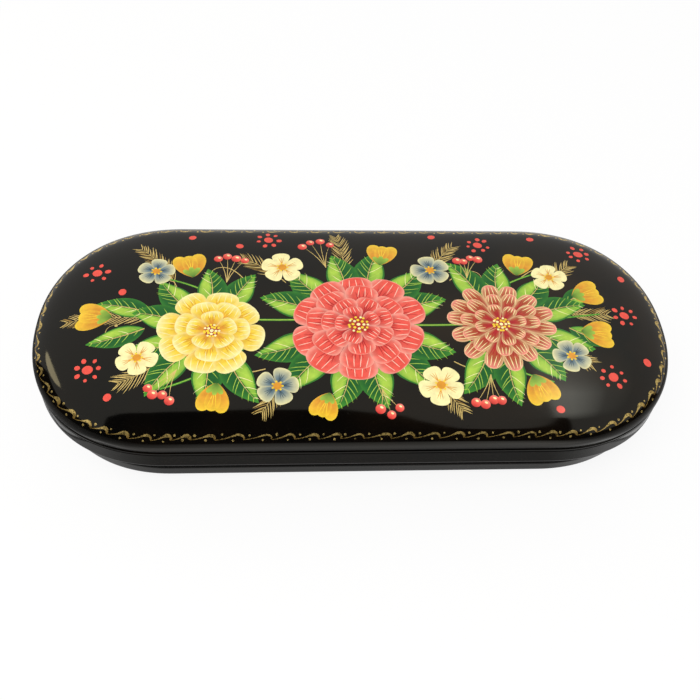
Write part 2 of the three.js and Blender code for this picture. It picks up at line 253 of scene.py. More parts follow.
def outline(sizes, inset):
    """The case outline moved inward, anticlockwise from the front of the right end."""
    radius = sizes.width / 2 - inset
    spine = (sizes.length - sizes.width) / 2
    angle = np.linspace(-math.pi / 2, math.pi / 2, END_STEPS + 1)
    along = spine + radius * full(np.cos(angle), sizes.fullness)
    along[[0, -1]] = spine
    right_end = np.stack([along, radius * full(np.sin(angle), sizes.fullness)], 1)
    back_x = np.linspace(spine, -spine, SIDE_STEPS + 1)[1:-1]
    back = np.stack([back_x, np.full_like(back_x, radius)], 1)
    return np.concatenate([right_end, back, -right_end, -back])


def loft(name, sizes, section, is_ring=False):
    """A closed piece through one outline per (inset, height) of its section.

    The section runs down the outside, across and up the inside. An open one closes with a flat face at each
    end, and a ring joins its end to its start.
    """
    rings = [outline(sizes, inset) for inset, _ in section]
    count = len(rings[0])
    heights = np.repeat([height for _, height in section], count)
    points = np.column_stack([np.concatenate(rings), heights])
    faces = []
    bands = len(rings) if is_ring else len(rings) - 1
    for band in range(bands):
        here = band * count
        after = (band + 1) % len(rings) * count
        for step in range(count):
            ahead = (step + 1) % count
            faces.append((here + step, after + step, after + ahead, here + ahead))
    if not is_ring:
        last = (len(rings) - 1) * count
        faces.append(tuple(range(count)))
        faces.append(tuple(range(last + count - 1, last - 1, -1)))
    return new_piece(name, points, faces)


def bands(first, count, rings):
    """Faces between each ring of points and the next, where the first ring starts at a given point."""
    faces = []
    for here in range(first, first + (rings - 1) * count, count):
        for step in range(count):
            ahead = (step + 1) % count
            faces.append((here + step, here + ahead, here + count + ahead, here + count + step))
    return faces


def new_piece(name, points, faces):
    """A mesh object in the case's own frame."""
    mesh = bpy.data.meshes.new(name)
    mesh.from_pydata([tuple(point) for point in points], [], faces)
    mesh.update()
    piece = bpy.data.objects.new(name, mesh)
    bpy.context.scene.collection.objects.link(piece)
    return piece


def shade_smooth(piece, sharp_degrees=SHELL_SHARP):
    """Smooth shading that breaks at real edges."""
    piece.data.shade_smooth()
    piece.data.set_sharp_from_angle(angle=math.radians(sharp_degrees))


def quarter_round(inset, height, radius, start, stop):
    """A quarter round of a section about (inset, height), from one angle to another in degrees."""
    angles = np.radians(np.linspace(start, stop, ROUND_STEPS))
    return [(inset - radius * math.cos(a), height + radius * math.sin(a)) for a in angles]


def lid_curve(sizes, height, side, crown, steps):
    """The lid's outside, or a surface inside it, from a height above the lid floor to the crown.

    The surface lies one depth inside the lid's side and another depth under its crown.
    """
    run = sizes.width / 2 - side
    rise = sizes.lid_rise - crown
    start = math.asin((height / rise) ** (sizes.shoulder_power / 2))
    stop = math.acos((CROWN_RADIUS / run) ** (sizes.crown_power / 2))
    angle = start + (stop - start) * np.linspace(0, 1, steps) ** SHOULDER_GATHER
    inset = side + run * (1 - full(np.cos(angle), sizes.crown_power))
    return list(zip(inset, sizes.lid_floor + rise * full(np.sin(angle), sizes.shoulder_power)))


def bowl_curve(sizes, depth, floor_depth):
    """The bowl's rounded side, or a surface inside it, from its upright wall to its floor."""
    outer = sizes.rim_inset + sizes.bowl_step
    run = sizes.bowl_round_run - depth
    drop = sizes.bowl_round_height - floor_depth
    angle = np.linspace(0, math.pi / 2, BOWL_STEPS)
    inset = outer + depth + run * (1 - full(np.cos(angle), sizes.fullness))
    inset[-1] = outer + depth + run
    return list(zip(inset, sizes.bowl_round_height - drop * full(np.sin(angle), sizes.fullness)))


def socket_depth(sizes):
    """How far the collar's socket reaches up into the lid."""
    return sizes.collar_top - sizes.lid_floor + sizes.collar_headroom


def collar_insets(sizes):
    """Insets of the collar's outer and inner face."""
    outer = sizes.lid_wall + sizes.collar_clearance
    return outer, outer + sizes.collar_thickness


# Cutters for the hinges

BARREL_SIDES = 48
BRAD_SIDES = 32
CUT_OVERRUN = 1 * MM


def rod(mesh, radius, length, sides, place):
    """Adds a cylinder along X to a bmesh."""
    turned = place @ Matrix.Rotation(math.pi / 2, 4, "Y")
    bmesh.ops.create_cone(
        mesh, cap_ends=True, segments=sides, radius1=radius, radius2=radius, depth=length, matrix=turned
    )


def block(mesh, size, place):
    """Adds a box to a bmesh."""
    bmesh.ops.create_cube(mesh, size=1, matrix=place @ Matrix.Diagonal((*size, 1)))


def cutter(name, build):
    """A hidden object that holds the solid that build adds to a bmesh."""
    mesh = bmesh.new()
    build(mesh)
    data = bpy.data.meshes.new(name)
    mesh.to_mesh(data)
    mesh.free()
    made = bpy.data.objects.new(name, data)
    bpy.context.scene.collection.objects.link(made)
    return made


def cut(piece, cutters):
    """Takes the cutters' solids out of a piece and deletes them."""
    for tool in cutters:
        modifier = piece.modifiers.new("cut", "BOOLEAN")
        modifier.object = tool
        modifier.operation = "DIFFERENCE"
        modifier.solver = "EXACT"
    shaped = piece.evaluated_get(bpy.context.evaluated_depsgraph_get())
    mesh = bpy.data.meshes.new_from_object(shaped)
    piece.modifiers.clear()
    piece.data = mesh
    for tool in cutters:
        bpy.data.objects.remove(tool)


def lid_lean(sizes):
    """The lean of the lid leaf, which puts its tip in the middle of the curving lid wall."""
    height = sizes.leaf_reach / sizes.lid_rise
    outside = sizes.width / 2 * (1 - (1 - height ** sizes.shoulder_power) ** (1 / sizes.crown_power))
    setback = sizes.width / 2 - HINGE_AXIS[1]
    return math.asin((outside + sizes.lid_wall / 2 - setback) / sizes.leaf_reach)


def inner_reach(sizes):
    """The distance from the pin's axis in to where the heads of the brads lie."""
    return sizes.lid_wall - (sizes.width / 2 - HINGE_AXIS[1]) - sizes.brad_sink


def hinge_cutters(sizes, turn, head_out):
    """The room that one half of each hinge needs: barrel recess, leaf slot and brad countersinks."""
    barrel = sizes.barrel_radius + sizes.barrel_clearance
    inner = sizes.lid_wall
    cutters = []
    for side in (-1, 1):
        spot = Matrix.Translation((side * sizes.hinge_spacing / 2, HINGE_AXIS[1], HINGE_AXIS[2])) @ turn
        length = sizes.hinge_length + 2 * sizes.barrel_clearance
        cutters.append(cutter("recess", lambda mesh: rod(mesh, barrel, length, BARREL_SIDES, spot)))
        depth = sizes.leaf_reach + sizes.leaf_clearance
        slot = (
            sizes.hinge_length + 2 * sizes.leaf_clearance,
            sizes.leaf_thickness + 2 * sizes.leaf_clearance,
            depth,
        )
        lowered = spot @ Matrix.Translation((0, 0, -depth / 2))
        cutters.append(cutter("slot", lambda mesh: block(mesh, slot, lowered)))
        for end in (-0.5, 0.5):
            start = head_out - sizes.brad_head_room
            middle = Vector((end * sizes.brad_spacing, (start + head_out + inner) / 2, -sizes.brad_drop))
            hole = spot @ Matrix.Translation(middle) @ Matrix.Rotation(math.pi / 2, 4, "Z")
            reach = head_out + inner - start
            cutters.append(cutter("sink", lambda mesh: rod(mesh, sizes.brad_room, reach, BRAD_SIDES, hole)))
    return cutters


def back_bevel(sizes, upward):
    """The wedge behind the hinge line that lets the lid swing open."""
    depth = sizes.bevel_depth
    drop = depth * math.tan(sizes.bevel_angle)
    half = sizes.length / 2
    corners = [(0, 0), (depth, upward * drop), (depth, -upward * CUT_OVERRUN), (0, -upward * CUT_OVERRUN)]

    def build(mesh):
        ends = []
        for x in (-half, half):
            ends.append([mesh.verts.new((x, HINGE_AXIS[1] + y, HINGE_AXIS[2] + z)) for y, z in corners])
        mesh.faces.new(ends[0])
        mesh.faces.new(reversed(ends[1]))
        for step in range(len(corners)):
            ahead = (step + 1) % len(corners)
            mesh.faces.new((ends[0][ahead], ends[0][step], ends[1][step], ends[1][ahead]))
        bmesh.ops.recalc_face_normals(mesh, faces=mesh.faces)

    return cutter("bevel", build)


# Materials

DUST_HEIGHT = 0.15
TARNISH_ROUGH = 0.18
TARNISH_SHADE = 0.45
BRASS_POLISH = 0.26
STEEL_POLISH = 0.3
POLISH_BUMP = 0.4
POLISH_DEPTH = 0.01 * MM
RIPPLE_DEPTH = 0.008 * MM
PAINT_RELIEF = 1.3
BARE_GROUND = linear(34, 26, 14)
HAZE_CENTRE = (0.038, 0, 0)
HAZE_SPREAD = (12, 26, 0)
PILE_DEPTH = 0.4 * MM
VELVET_SHADE = 0.5
VELVET_TIP_SHEEN = 1.9
VELVET_SHEEN = linear(255, 120, 120)


def place(tree, kind, inputs=(), **settings):
    """Adds a node with its settings, and sets or links its inputs."""
    node = tree.nodes.new(kind)
    for key, value in settings.items():
        setattr(node, key, value)
    for key, value in dict(inputs).items():
        if isinstance(value, bpy.types.NodeSocket):
            tree.links.new(value, node.inputs[key])
        else:
            node.inputs[key].default_value = value
    return node


def new_material(name):
    """An empty material and its node tree."""
    material = bpy.data.materials.new(name)
    material.use_nodes = True
    material.node_tree.nodes.clear()
    return material, material.node_tree


def finish_material(tree, inputs):
    """Closes a material with its shader."""
    shader = place(tree, "ShaderNodeBsdfPrincipled", inputs)
    place(tree, "ShaderNodeOutputMaterial", {"Surface": shader.outputs["BSDF"]})
    return shader


def noise_value(tree, scale, detail=3.0, stretch=None, roughness=0.5):
    """Noise over the case's own coordinates, as a value around a half."""
    where = place(tree, "ShaderNodeTexCoord").outputs["Object"]
    if stretch:
        where = place(tree, "ShaderNodeMapping", {"Vector": where, "Scale": stretch}).outputs["Vector"]
    inputs = {"Vector": where, "Scale": scale, "Detail": detail, "Roughness": roughness}
    return place(tree, "ShaderNodeTexNoise", inputs).outputs["Fac"]


def remap(tree, value, low, high, to_low, to_high):
    """A value moved from one range to another, clamped."""
    inputs = {"Value": value, "From Min": low, "From Max": high, "To Min": to_low, "To Max": to_high}
    return place(tree, "ShaderNodeMapRange", inputs).outputs["Result"]


def ramped(tree, value, stops):
    """A value read off a line through (place, level) stops."""
    node = place(tree, "ShaderNodeValToRGB", {"Fac": value})
    elements = node.color_ramp.elements
    while len(elements) < len(stops):
        elements.new(0.5)
    for element, (spot, level) in zip(elements, stops):
        element.position = spot
        element.color = (level, level, level, 1)
    return node.outputs["Color"]


def mixed(tree, share, first, second, blend="MIX"):
    """Two colours mixed by a share."""
    node = tree.nodes.new("ShaderNodeMix")
    node.data_type = "RGBA"
    node.blend_type = blend
    sockets = {"Factor": node.inputs[0], "A": node.inputs[6], "B": node.inputs[7]}
    for key, value in (("Factor", share), ("A", first), ("B", second)):
        if isinstance(value, bpy.types.NodeSocket):
            tree.links.new(value, sockets[key])
        elif key == "Factor":
            sockets[key].default_value = value
        else:
            sockets[key].default_value = (*value, 1)
    return node.outputs[2]


def group_of(name, outputs, inputs):
    """A new shader node group with value sockets."""
    tree = bpy.data.node_groups.new(name, "ShaderNodeTree")
    for label, default in inputs:
        socket = tree.interface.new_socket(label, in_out="INPUT", socket_type="NodeSocketFloat")
        socket.default_value = default
    for label in outputs:
        tree.interface.new_socket(label, in_out="OUTPUT", socket_type="NodeSocketFloat")
    return tree


def summed(tree, first, second):
    """Two values added."""
    return place(tree, "ShaderNodeMath", {0: first, 1: second}, operation="ADD").outputs[0]


def times(tree, first, second):
    """Two values multiplied."""
    return place(tree, "ShaderNodeMath", {0: first, 1: second}, operation="MULTIPLY").outputs[0]


def grey(tree, value):
    """A value as a grey colour."""
    inputs = {"Red": value, "Green": value, "Blue": value}
    return place(tree, "ShaderNodeCombineColor", inputs).outputs["Color"]


def bumped(tree, height, depth, strength=1.0):
    """The surface normal bumped by a height."""
    inputs = {"Height": height, "Strength": strength, "Distance": depth}
    return place(tree, "ShaderNodeBump", inputs).outputs["Normal"]


def made_once(store):
    """Lets a function make each name in one of Blender's lists once, and finds it there after that."""

    def wrap(make):
        @functools.wraps(make)
        def find_or_make(name, *given, **named):
            return getattr(bpy.data, store).get(name) or make(name, *given, **named)

        return find_or_make

    return wrap


@made_once("node_groups")
def varnish_group(name):
    """Hand-rubbed varnish: soft smears and settled dust in the gloss, and a slow ripple in the surface."""
    inputs = (("Gloss", 0.07), ("Smear", 0.03), ("Dust", 0.15), ("Ripple", 1.0))
    tree = group_of(name, ("Roughness", "Height"), inputs)
    given = place(tree, "NodeGroupInput").outputs
    smear = remap(tree, noise_value(tree, 45, 4), 0.45, 0.75, 0, 1)
    dust = remap(tree, noise_value(tree, 1500, 1), 0.72, 0.8, 0, 1)
    gloss = summed(tree, given["Gloss"], times(tree, smear, given["Smear"]))
    gloss = summed(tree, gloss, times(tree, dust, given["Dust"]))
    ripple = times(tree, noise_value(tree, 110, 2), given["Ripple"])
    height = summed(tree, ripple, times(tree, dust, DUST_HEIGHT))
    place(tree, "NodeGroupOutput", {"Roughness": gloss, "Height": height})
    return tree


@made_once("node_groups")
def polish_group(name):
    """Worked metal: lines of the polishing wheel and dull tarnish."""
    inputs = (("Polish", 0.28), ("Scratch", 0.12))
    tree = group_of(name, ("Tarnish", "Roughness", "Height"), inputs)
    given = place(tree, "NodeGroupInput").outputs
    lines = noise_value(tree, 900, 2, stretch=(0.06, 1, 1))
    tarnish = remap(tree, noise_value(tree, 420, 4), 0.45, 0.75, 0, 1)
    rough = summed(tree, given["Polish"], times(tree, lines, given["Scratch"]))
    rough = summed(tree, rough, times(tree, tarnish, TARNISH_ROUGH))
    place(tree, "NodeGroupOutput", {"Tarnish": tarnish, "Roughness": rough, "Height": lines})
    return tree


def varnished(tree, settings, colour, ior, depth=RIPPLE_DEPTH, relief=None, metallic=0.0):
    """The varnished shader over a colour, shared by lacquer and paint."""
    group = place(tree, "ShaderNodeGroup", node_tree=varnish_group("hand_rubbed_varnish"))
    group.inputs["Gloss"].default_value = settings.gloss
    height = group.outputs["Height"]
    if relief is not None:
        height = summed(tree, height, relief)
    return finish_material(tree, {
        "Base Color": colour,
        "Roughness": group.outputs["Roughness"],
        "Metallic": metallic,
        "IOR": ior,
        "Specular Tint": (*settings.varnish_tint, 1),
        "Normal": bumped(tree, height, depth),
    })


@made_once("materials")
def lacquer_material(name, colours, settings, has_haze=False):
    """Black lacquer, with a faint umber haze in the ground where it is painted over."""
    material, tree = new_material(name)
    cloud = remap(tree, noise_value(tree, 60, 4), 0.4, 0.7, 0, 0.1)
    if has_haze:
        where = place(tree, "ShaderNodeTexCoord").outputs["Object"]
        for operation, value in (("SUBTRACT", HAZE_CENTRE), ("MULTIPLY", HAZE_SPREAD)):
            where = place(tree, "ShaderNodeVectorMath", {0: where, 1: value}, operation=operation).outputs[0]
        distance = place(tree, "ShaderNodeVectorMath", {0: where}, operation="LENGTH")
        glow = remap(tree, distance.outputs["Value"], 0.4, 1.0, 1, 0)
        drift = remap(tree, noise_value(tree, 38, 5), 0.36, 0.7, 0, 1)
        cloud = summed(tree, cloud, times(tree, glow, drift))
    colour = mixed(tree, cloud, colours.lacquer, colours.umber)
    varnished(tree, settings, colour, settings.varnish_ior if has_haze else settings.base_ior)
    return material


@made_once("materials")
def paint_material(name, settings, metallic=0.0, is_broken=False):
    """Brush paint under varnish, coloured by its strokes. Broken paint lets the ground through."""
    material, tree = new_material(name)
    colour = place(tree, "ShaderNodeAttribute", attribute_name="Paint").outputs["Color"]
    load = remap(tree, noise_value(tree, 700, 3), 0.3, 0.7, 0.86, 1.06)
    colour = mixed(tree, 1.0, colour, grey(tree, load), "MULTIPLY")
    if is_broken:
        bare = remap(tree, noise_value(tree, 2200, 2), 0.36, 0.5, 0.75, 0)
        colour = mixed(tree, bare, colour, BARE_GROUND)
    bristle = noise_value(tree, 2600, 2)
    varnished(tree, settings, colour, settings.varnish_ior, RIPPLE_DEPTH * PAINT_RELIEF, bristle, metallic)
    return material


@made_once("materials")
def velvet_material(name, settings):
    """Deep red velvet with a crushed nap, and pile tips painted lighter as a painted sheen."""
    material, tree = new_material(name)
    crush = remap(tree, noise_value(tree, 70, 6, stretch=(1, 1.8, 1.8)), 0.3, 0.75, 0, 1)
    nap = remap(tree, noise_value(tree, 520, 4, stretch=(1, 0.45, 1)), 0.3, 0.7, 0, 1)
    pile = noise_value(tree, 3000, 3)
    dark = tuple(VELVET_SHADE * c for c in settings.velvet)
    colour = mixed(tree, crush, dark, settings.velvet)
    colour = mixed(tree, times(tree, nap, 0.4), colour, dark)
    # Pile tips painted lighter at random: a painted sheen, over the shader's own sheen.
    tips = remap(tree, pile, 0.45, 0.7, 0, 0.6)
    colour = mixed(tree, tips, colour, tuple(min(1, VELVET_TIP_SHEEN * c) for c in settings.velvet))
    finish_material(tree, {
        "Base Color": colour,
        "Roughness": 0.95,
        "Sheen Weight": 0.45,
        "Sheen Roughness": 0.35,
        "Sheen Tint": (*VELVET_SHEEN, 1),
        "Specular IOR Level": 0.15,
        "Normal": bumped(tree, pile, PILE_DEPTH),
    })
    return material


@made_once("materials")
def metal_material(name, colour, polish):
    """Hinge metal with polishing lines and tarnish."""
    material, tree = new_material(name)
    group = place(tree, "ShaderNodeGroup", node_tree=polish_group("polished_metal"))
    group.inputs["Polish"].default_value = polish
    dull = tuple(TARNISH_SHADE * c for c in colour)
    finish_material(tree, {
        "Base Color": mixed(tree, group.outputs["Tarnish"], colour, dull),
        "Metallic": 1.0,
        "Roughness": group.outputs["Roughness"],
        "Normal": bumped(tree, group.outputs["Height"], POLISH_DEPTH, POLISH_BUMP),
    })
    return material


def dress(piece, material, body, replaces=()):
    """Gives a piece its material and its place in the frame."""
    piece.data.materials.clear()
    piece.data.materials.append(material)
    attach(piece, body)
    if replaces:
        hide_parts(*replaces)
    return piece


# Painting on the lid. Strokes are drawn flat, in millimetres, and laid on the lid's surface.

PAINT_SINK = 0.03
PAINT_COAT = 0.006
HAIR_COAT = 0.002
STACK_CELL = 0.3
GOLD_METAL = 0.66
FERN_METAL = 0.1
STACK_REACH = (90, 60)
END_BLEND = 4
ARC_STEPS = 4001
TURN_STEPS = 400
PATH_STEPS = 199
LEAF_STEPS = 24
LEAF_BEND = 26
VEIN_PITCH = 2.1
STEM_STEPS = 30
STEM_WIDTH = 0.9
FROND_STEPS = 40
FROND_PITCH = 0.85
FROND_HAIR = 5.2
ROSETTE_HEART = 1.22
ROSETTE_RING = 2.85


class LidSurface:
    """The lid's outside as a surface to paint on."""

    def __init__(self, sizes, border):
        self.half = sizes.width / 2 / MM
        self.rise = sizes.lid_rise / MM
        self.floor = sizes.lid_floor / MM
        self.spine = (sizes.length - sizes.width) / 2 / MM
        self.plan_power = sizes.fullness
        self.crown_power = sizes.crown_power
        self.shoulder_power = sizes.shoulder_power
        angle = np.linspace(0, math.pi / 2, ARC_STEPS)
        self.run = self.half * full(np.sin(angle), self.crown_power)
        height = self.rise * full(np.cos(angle), self.shoulder_power)
        steps = np.hypot(np.diff(self.run), np.diff(height))
        self.arc = np.concatenate([[0], np.cumsum(steps)])
        self.measure_border(border)

    def reach(self, run, turn):
        """Distance in plan from the spine to a contour of the lid, in a direction."""
        bulge = np.abs(np.cos(turn)) ** self.plan_power + np.abs(np.sin(turn)) ** self.plan_power
        return run / bulge ** (1 / self.plan_power)

    def measure_border(self, border):
        """Tabulates the border line: spine point, direction and arc at each length along it."""
        quarter = math.pi / 2
        right_turn = np.linspace(-quarter, quarter, TURN_STEPS)
        side = np.full(2, quarter)
        self.turn = np.concatenate([right_turn, side, right_turn + math.pi, side + math.pi])
        ends = np.full(TURN_STEPS, self.spine)
        sides = np.array([self.spine, -self.spine])
        self.seat = np.concatenate([ends, sides, -ends, -sides])
        sine, cosine = np.sin(self.turn), np.cos(self.turn)
        inset = sine ** 2 * np.where(sine > 0, border.back_inset, border.front_inset)
        inset += cosine ** 2 * np.where(cosine > 0, border.right_inset, border.left_inset)
        run = self.half - inset / MM
        reach = self.reach(run, self.turn)
        x = self.seat + reach * np.cos(self.turn)
        y = reach * np.sin(self.turn)
        self.along = np.concatenate([[0], np.cumsum(np.hypot(np.diff(x), np.diff(y)))])
        self.border_arc = np.interp(run, self.run, self.arc)

    def is_at_end(self, t):
        """Whether a length along the border lies on one of the round ends."""
        return abs(np.interp(t, self.along, self.seat)) > self.spine - END_BLEND

    def lay(self, seat, turn, arc, lift):
        """Points at an arc length down from the crown line, lifted off the surface, in metres."""
        run = np.interp(arc, self.arc, self.run)
        reach = self.reach(run, turn)
        x = reach * np.cos(turn)
        y = reach * np.sin(turn)
        depth = np.maximum(1 - (run / self.half) ** self.crown_power, 0)
        z = self.rise * depth ** (1 / self.shoulder_power)
        lean = self.crown_power * run ** (self.crown_power - 1) / self.half ** self.crown_power
        rounding = np.maximum(run, 1e-6) ** (1 - self.plan_power)
        power = self.plan_power - 1
        normal = np.stack([
            lean * rounding * np.sign(x) * np.abs(x) ** power,
            lean * rounding * np.sign(y) * np.abs(y) ** power,
            self.shoulder_power * z ** (self.shoulder_power - 1) / self.rise ** self.shoulder_power,
        ], -1)
        normal /= np.linalg.norm(normal, axis=-1, keepdims=True)
        points = np.stack([seat + x, y, self.floor + z], -1)
        return (points + normal * lift[..., None]) * MM

    def from_flat(self, x, v, lift):
        """Lays the middle of the lid, where v is the arc length from the crown line."""
        seat = np.clip(x, -self.spine, self.spine)
        return self.lay(seat, np.arctan2(v, x - seat), np.hypot(x - seat, v), lift)

    def from_border(self, t, h, lift):
        """Lays the border, where t runs along it and h up from it."""
        t = np.mod(t, self.along[-1])
        seat = np.interp(t, self.along, self.seat)
        turn = np.interp(t, self.along, self.turn)
        return self.lay(seat, turn, np.interp(t, self.along, self.border_arc) - h, lift)


class PaintStack:
    """How high the paint already stands, so that each stroke lies on those before it."""

    def __init__(self):
        self.height = np.zeros([int(2 * reach / STACK_CELL) for reach in STACK_REACH])

    def add(self, x, v, coat):
        """The height of a new stroke over the grid of its points, which is a coat above the highest there."""
        x = refined(refined(x).T).T
        v = refined(refined(v).T).T
        column = ((x + STACK_REACH[0]) / STACK_CELL).astype(int).ravel()
        row = ((v + STACK_REACH[1]) / STACK_CELL).astype(int).ravel()
        lift = self.height[column, row].max() + coat
        self.height[column, row] = lift
        return lift


def refined(values):
    """Rows of values with three more rows set between each pair."""
    rows = np.arange(len(values))
    fine = np.linspace(0, len(values) - 1, 4 * len(values) - 3)
    return np.stack([np.interp(fine, rows, column) for column in values.T], 1)


class Brush:
    """Collects closed strokes of one kind of paint and lays them on the lid as one piece."""

    def __init__(self, lay, stack=None):
        self.lay = lay
        self.stack = stack
        self.points = []
        self.faces = []
        self.colours = []
        self.count = 0

    def stroke(self, spine, half, shade, across=3, coat=PAINT_COAT):
        """One stroke along a spine, with half its width and a colour for each place on it."""
        spine = np.asarray(spine, float)
        square = headings(spine)[1]
        w = np.linspace(-1, 1, across)
        reach = half[:, None] * w
        flat = spine[:, None] + square[:, None] * reach[..., None]
        lift = self.stack.add(flat[..., 0], flat[..., 1], coat) if self.stack else coat
        tops = np.broadcast_to(lift - coat / 2 * w ** 2, reach.shape)
        flat = np.concatenate([flat, flat[:, [-1, 0]]], 1)
        lifts = np.concatenate([tops, np.full((len(spine), 2), -PAINT_SINK)], 1)
        u = np.linspace(0, 1, len(spine))[:, None]
        colour = shade(np.broadcast_to(u, reach.shape), np.broadcast_to(w, reach.shape))
        colour = np.concatenate([colour, colour[:, [-1, 0]]], 1)
        self.add_loops(self.lay(flat[..., 0], flat[..., 1], lifts), colour)

    def add_loops(self, loops, colour):
        """Joins the stroke's cross sections into one closed solid."""
        sections, width = loops.shape[:2]
        first = self.count
        self.faces += bands(first, width, sections)
        self.faces.append(tuple(range(first + width - 1, first - 1, -1)))
        last = first + (sections - 1) * width
        self.faces.append(tuple(range(last, last + width)))
        self.points.append(loops.reshape(-1, 3))
        self.colours.append(colour.reshape(-1, 3))
        self.count += sections * width

    def piece(self, name):
        """The finished piece, with the strokes' colours on it."""
        made = new_piece(name, np.concatenate(self.points), self.faces)
        colours = np.concatenate(self.colours)
        layer = made.data.color_attributes.new("Paint", "FLOAT_COLOR", "POINT")
        layer.data.foreach_set("color", np.column_stack([colours, np.ones(len(colours))]).ravel())
        mesh = bmesh.new()
        mesh.from_mesh(made.data)
        bmesh.ops.recalc_face_normals(mesh, faces=mesh.faces)
        mesh.to_mesh(made.data)
        mesh.free()
        shade_smooth(made, SOFT_SHARP)
        return made


def headings(spine):
    """Unit headings along a line, and the directions square to them."""
    heading = np.gradient(spine, axis=0)
    heading /= np.maximum(np.linalg.norm(heading, axis=1, keepdims=True), 1e-9)
    return heading, np.stack([-heading[:, 1], heading[:, 0]], 1)


def bearing(way):
    """The direction of a vector in degrees."""
    return math.degrees(math.atan2(way[1], way[0]))


def away(centre, degrees, distance):
    """The point at a distance from a centre, in a direction."""
    angle = math.radians(degrees)
    return centre[0] + distance * math.cos(angle), centre[1] + distance * math.sin(angle)


def plain(colour):
    """A stroke's colour that is the same all over it."""
    tone = np.array(colour)
    return lambda u, w: np.broadcast_to(tone, (*u.shape, 3))


def graded(stops, rim=None, rim_share=0.0):
    """A stroke's colour by stops along it, drawn towards a rim colour at its edges."""
    places = [stop for stop, _ in stops]
    tones = np.array([tuple(colour) for _, colour in stops])

    def shade(u, w):
        body = np.stack([np.interp(u, places, tones[:, channel]) for channel in range(3)], -1)
        if rim is None:
            return body
        share = rim_share * np.abs(w[..., None]) ** 4
        return body * (1 - share) + np.array(tuple(rim)) * share

    return shade


def eased(count):
    """Places from 0 to 1 that crowd together at both ends, for round tips."""
    return (1 - np.cos(np.linspace(0, math.pi, count))) / 2


def path(root, degrees, length, bend=0.0, curl=0.0, count=16):
    """A curving line from a root: its heading turns by bend along it, and by curl faster at its end."""
    fine = np.linspace(0, 1, PATH_STEPS + 1)
    heading = np.radians(degrees + bend * (fine - 0.5) + curl * fine ** 2)
    x = root[0] + length * np.concatenate([[0], np.cumsum(np.cos(heading[:-1]))]) / PATH_STEPS
    v = root[1] + length * np.concatenate([[0], np.cumsum(np.sin(heading[:-1]))]) / PATH_STEPS
    places = eased(count)
    return np.stack([np.interp(places, fine, x), np.interp(places, fine, v)], 1)


def hair(brush, root, degrees, length, width, colour, bend=0.0, curl=0.0, count=8, start=0.35):
    """A thin line that swells in the middle and runs out to a point."""
    u = eased(count)
    half = width / 2 * (start * (1 - u) + (1 - start) * np.sin(math.pi * u) ** 0.7 + 0.06)
    brush.stroke(path(root, degrees, length, bend, curl, count), half, plain(colour), 3, HAIR_COAT)


def dab(brush, centre, radius, colour, degrees=0.0, stretch=1.0, rings=9, across=5):
    """A round or oval touch of the brush."""
    u = eased(rings)
    spine = path(away(centre, degrees, -radius * stretch), degrees, 2 * radius * stretch, count=rings)
    half = np.maximum(radius * np.sqrt(np.maximum(1 - (2 * u - 1) ** 2, 0)), 0.06 * radius)
    brush.stroke(spine, half, colour if callable(colour) else plain(colour), across)


def petal(brush, root, degrees, length, width, shade, bend=0.0, tip=3.2, waist=0.75, across=9, count=18):
    """A petal that opens from a narrow root to a round tip."""
    u = eased(count)
    profile = u ** waist * np.sqrt(np.maximum(1 - u ** tip, 0))
    half = np.maximum(width / 2 * profile / profile.max(), 0.05)
    brush.stroke(path(root, degrees, length, bend, count=count), half, shade, across)


def leaf(brush, colours, root, degrees, length, width, bend, rng):
    """A pointed leaf with a dark and a light side, side veins and a gold midrib."""
    u = eased(LEAF_STEPS)
    profile = np.sin(math.pi * u ** 0.8) ** 0.95
    half = np.maximum(width / 2 * profile, 0.05)
    spine = path(root, degrees, length, bend, count=LEAF_STEPS)
    dark = graded([(0, colours.forest), (0.6, colours.forest), (1, colours.grass)], colours.grass, 0.35)
    brush.stroke(spine, half, dark, 9)
    side = 1 if bend >= 0 else -1
    heading, square = headings(spine)
    inner = slice(2, LEAF_STEPS - 3)
    lit = spine[inner] + side * square[inner] * half[inner, None] * 0.48
    light = graded([(0, colours.grass), (0.6, colours.lime), (1, colours.grass)], colours.grass, 0.6)
    share = np.sin(np.linspace(0, math.pi, len(lit))) ** 0.5
    brush.stroke(lit, half[inner] * 0.4 * share + 0.04, light, 5, HAIR_COAT)
    veins = max(4, int(length / VEIN_PITCH))
    for number in range(veins):
        spot = (number + 0.8) / (veins + 1)
        index = min(int(np.searchsorted(u, spot)), LEAF_STEPS - 2)
        turn = bearing(heading[index])
        reach = half[index] * 1.12
        for way in (-1, 1):
            tone = colours.cream if way == side and number % 2 else colours.lime
            hair(brush, spine[index], turn + way * rng.uniform(34, 46), reach, 0.2, tone, -way * 18, count=6)
    aim = degrees - 0.04 * bend
    hair(brush, spine[0], aim, 0.92 * length, 0.34, colours.gold_light, 0.92 * bend, count=14, start=0.8)


def stem(brush, colours, root, degrees, length, bend):
    """A green stem with a light along it."""
    line = path(root, degrees, length, bend, count=STEM_STEPS)
    half = np.linspace(STEM_WIDTH / 2, STEM_WIDTH / 4, STEM_STEPS)
    brush.stroke(line, half, graded([(0, colours.forest), (1, colours.grass)]), 3)
    hair(brush, root, degrees, length, STEM_WIDTH * 0.35, colours.lime, bend, count=24, start=0.8)


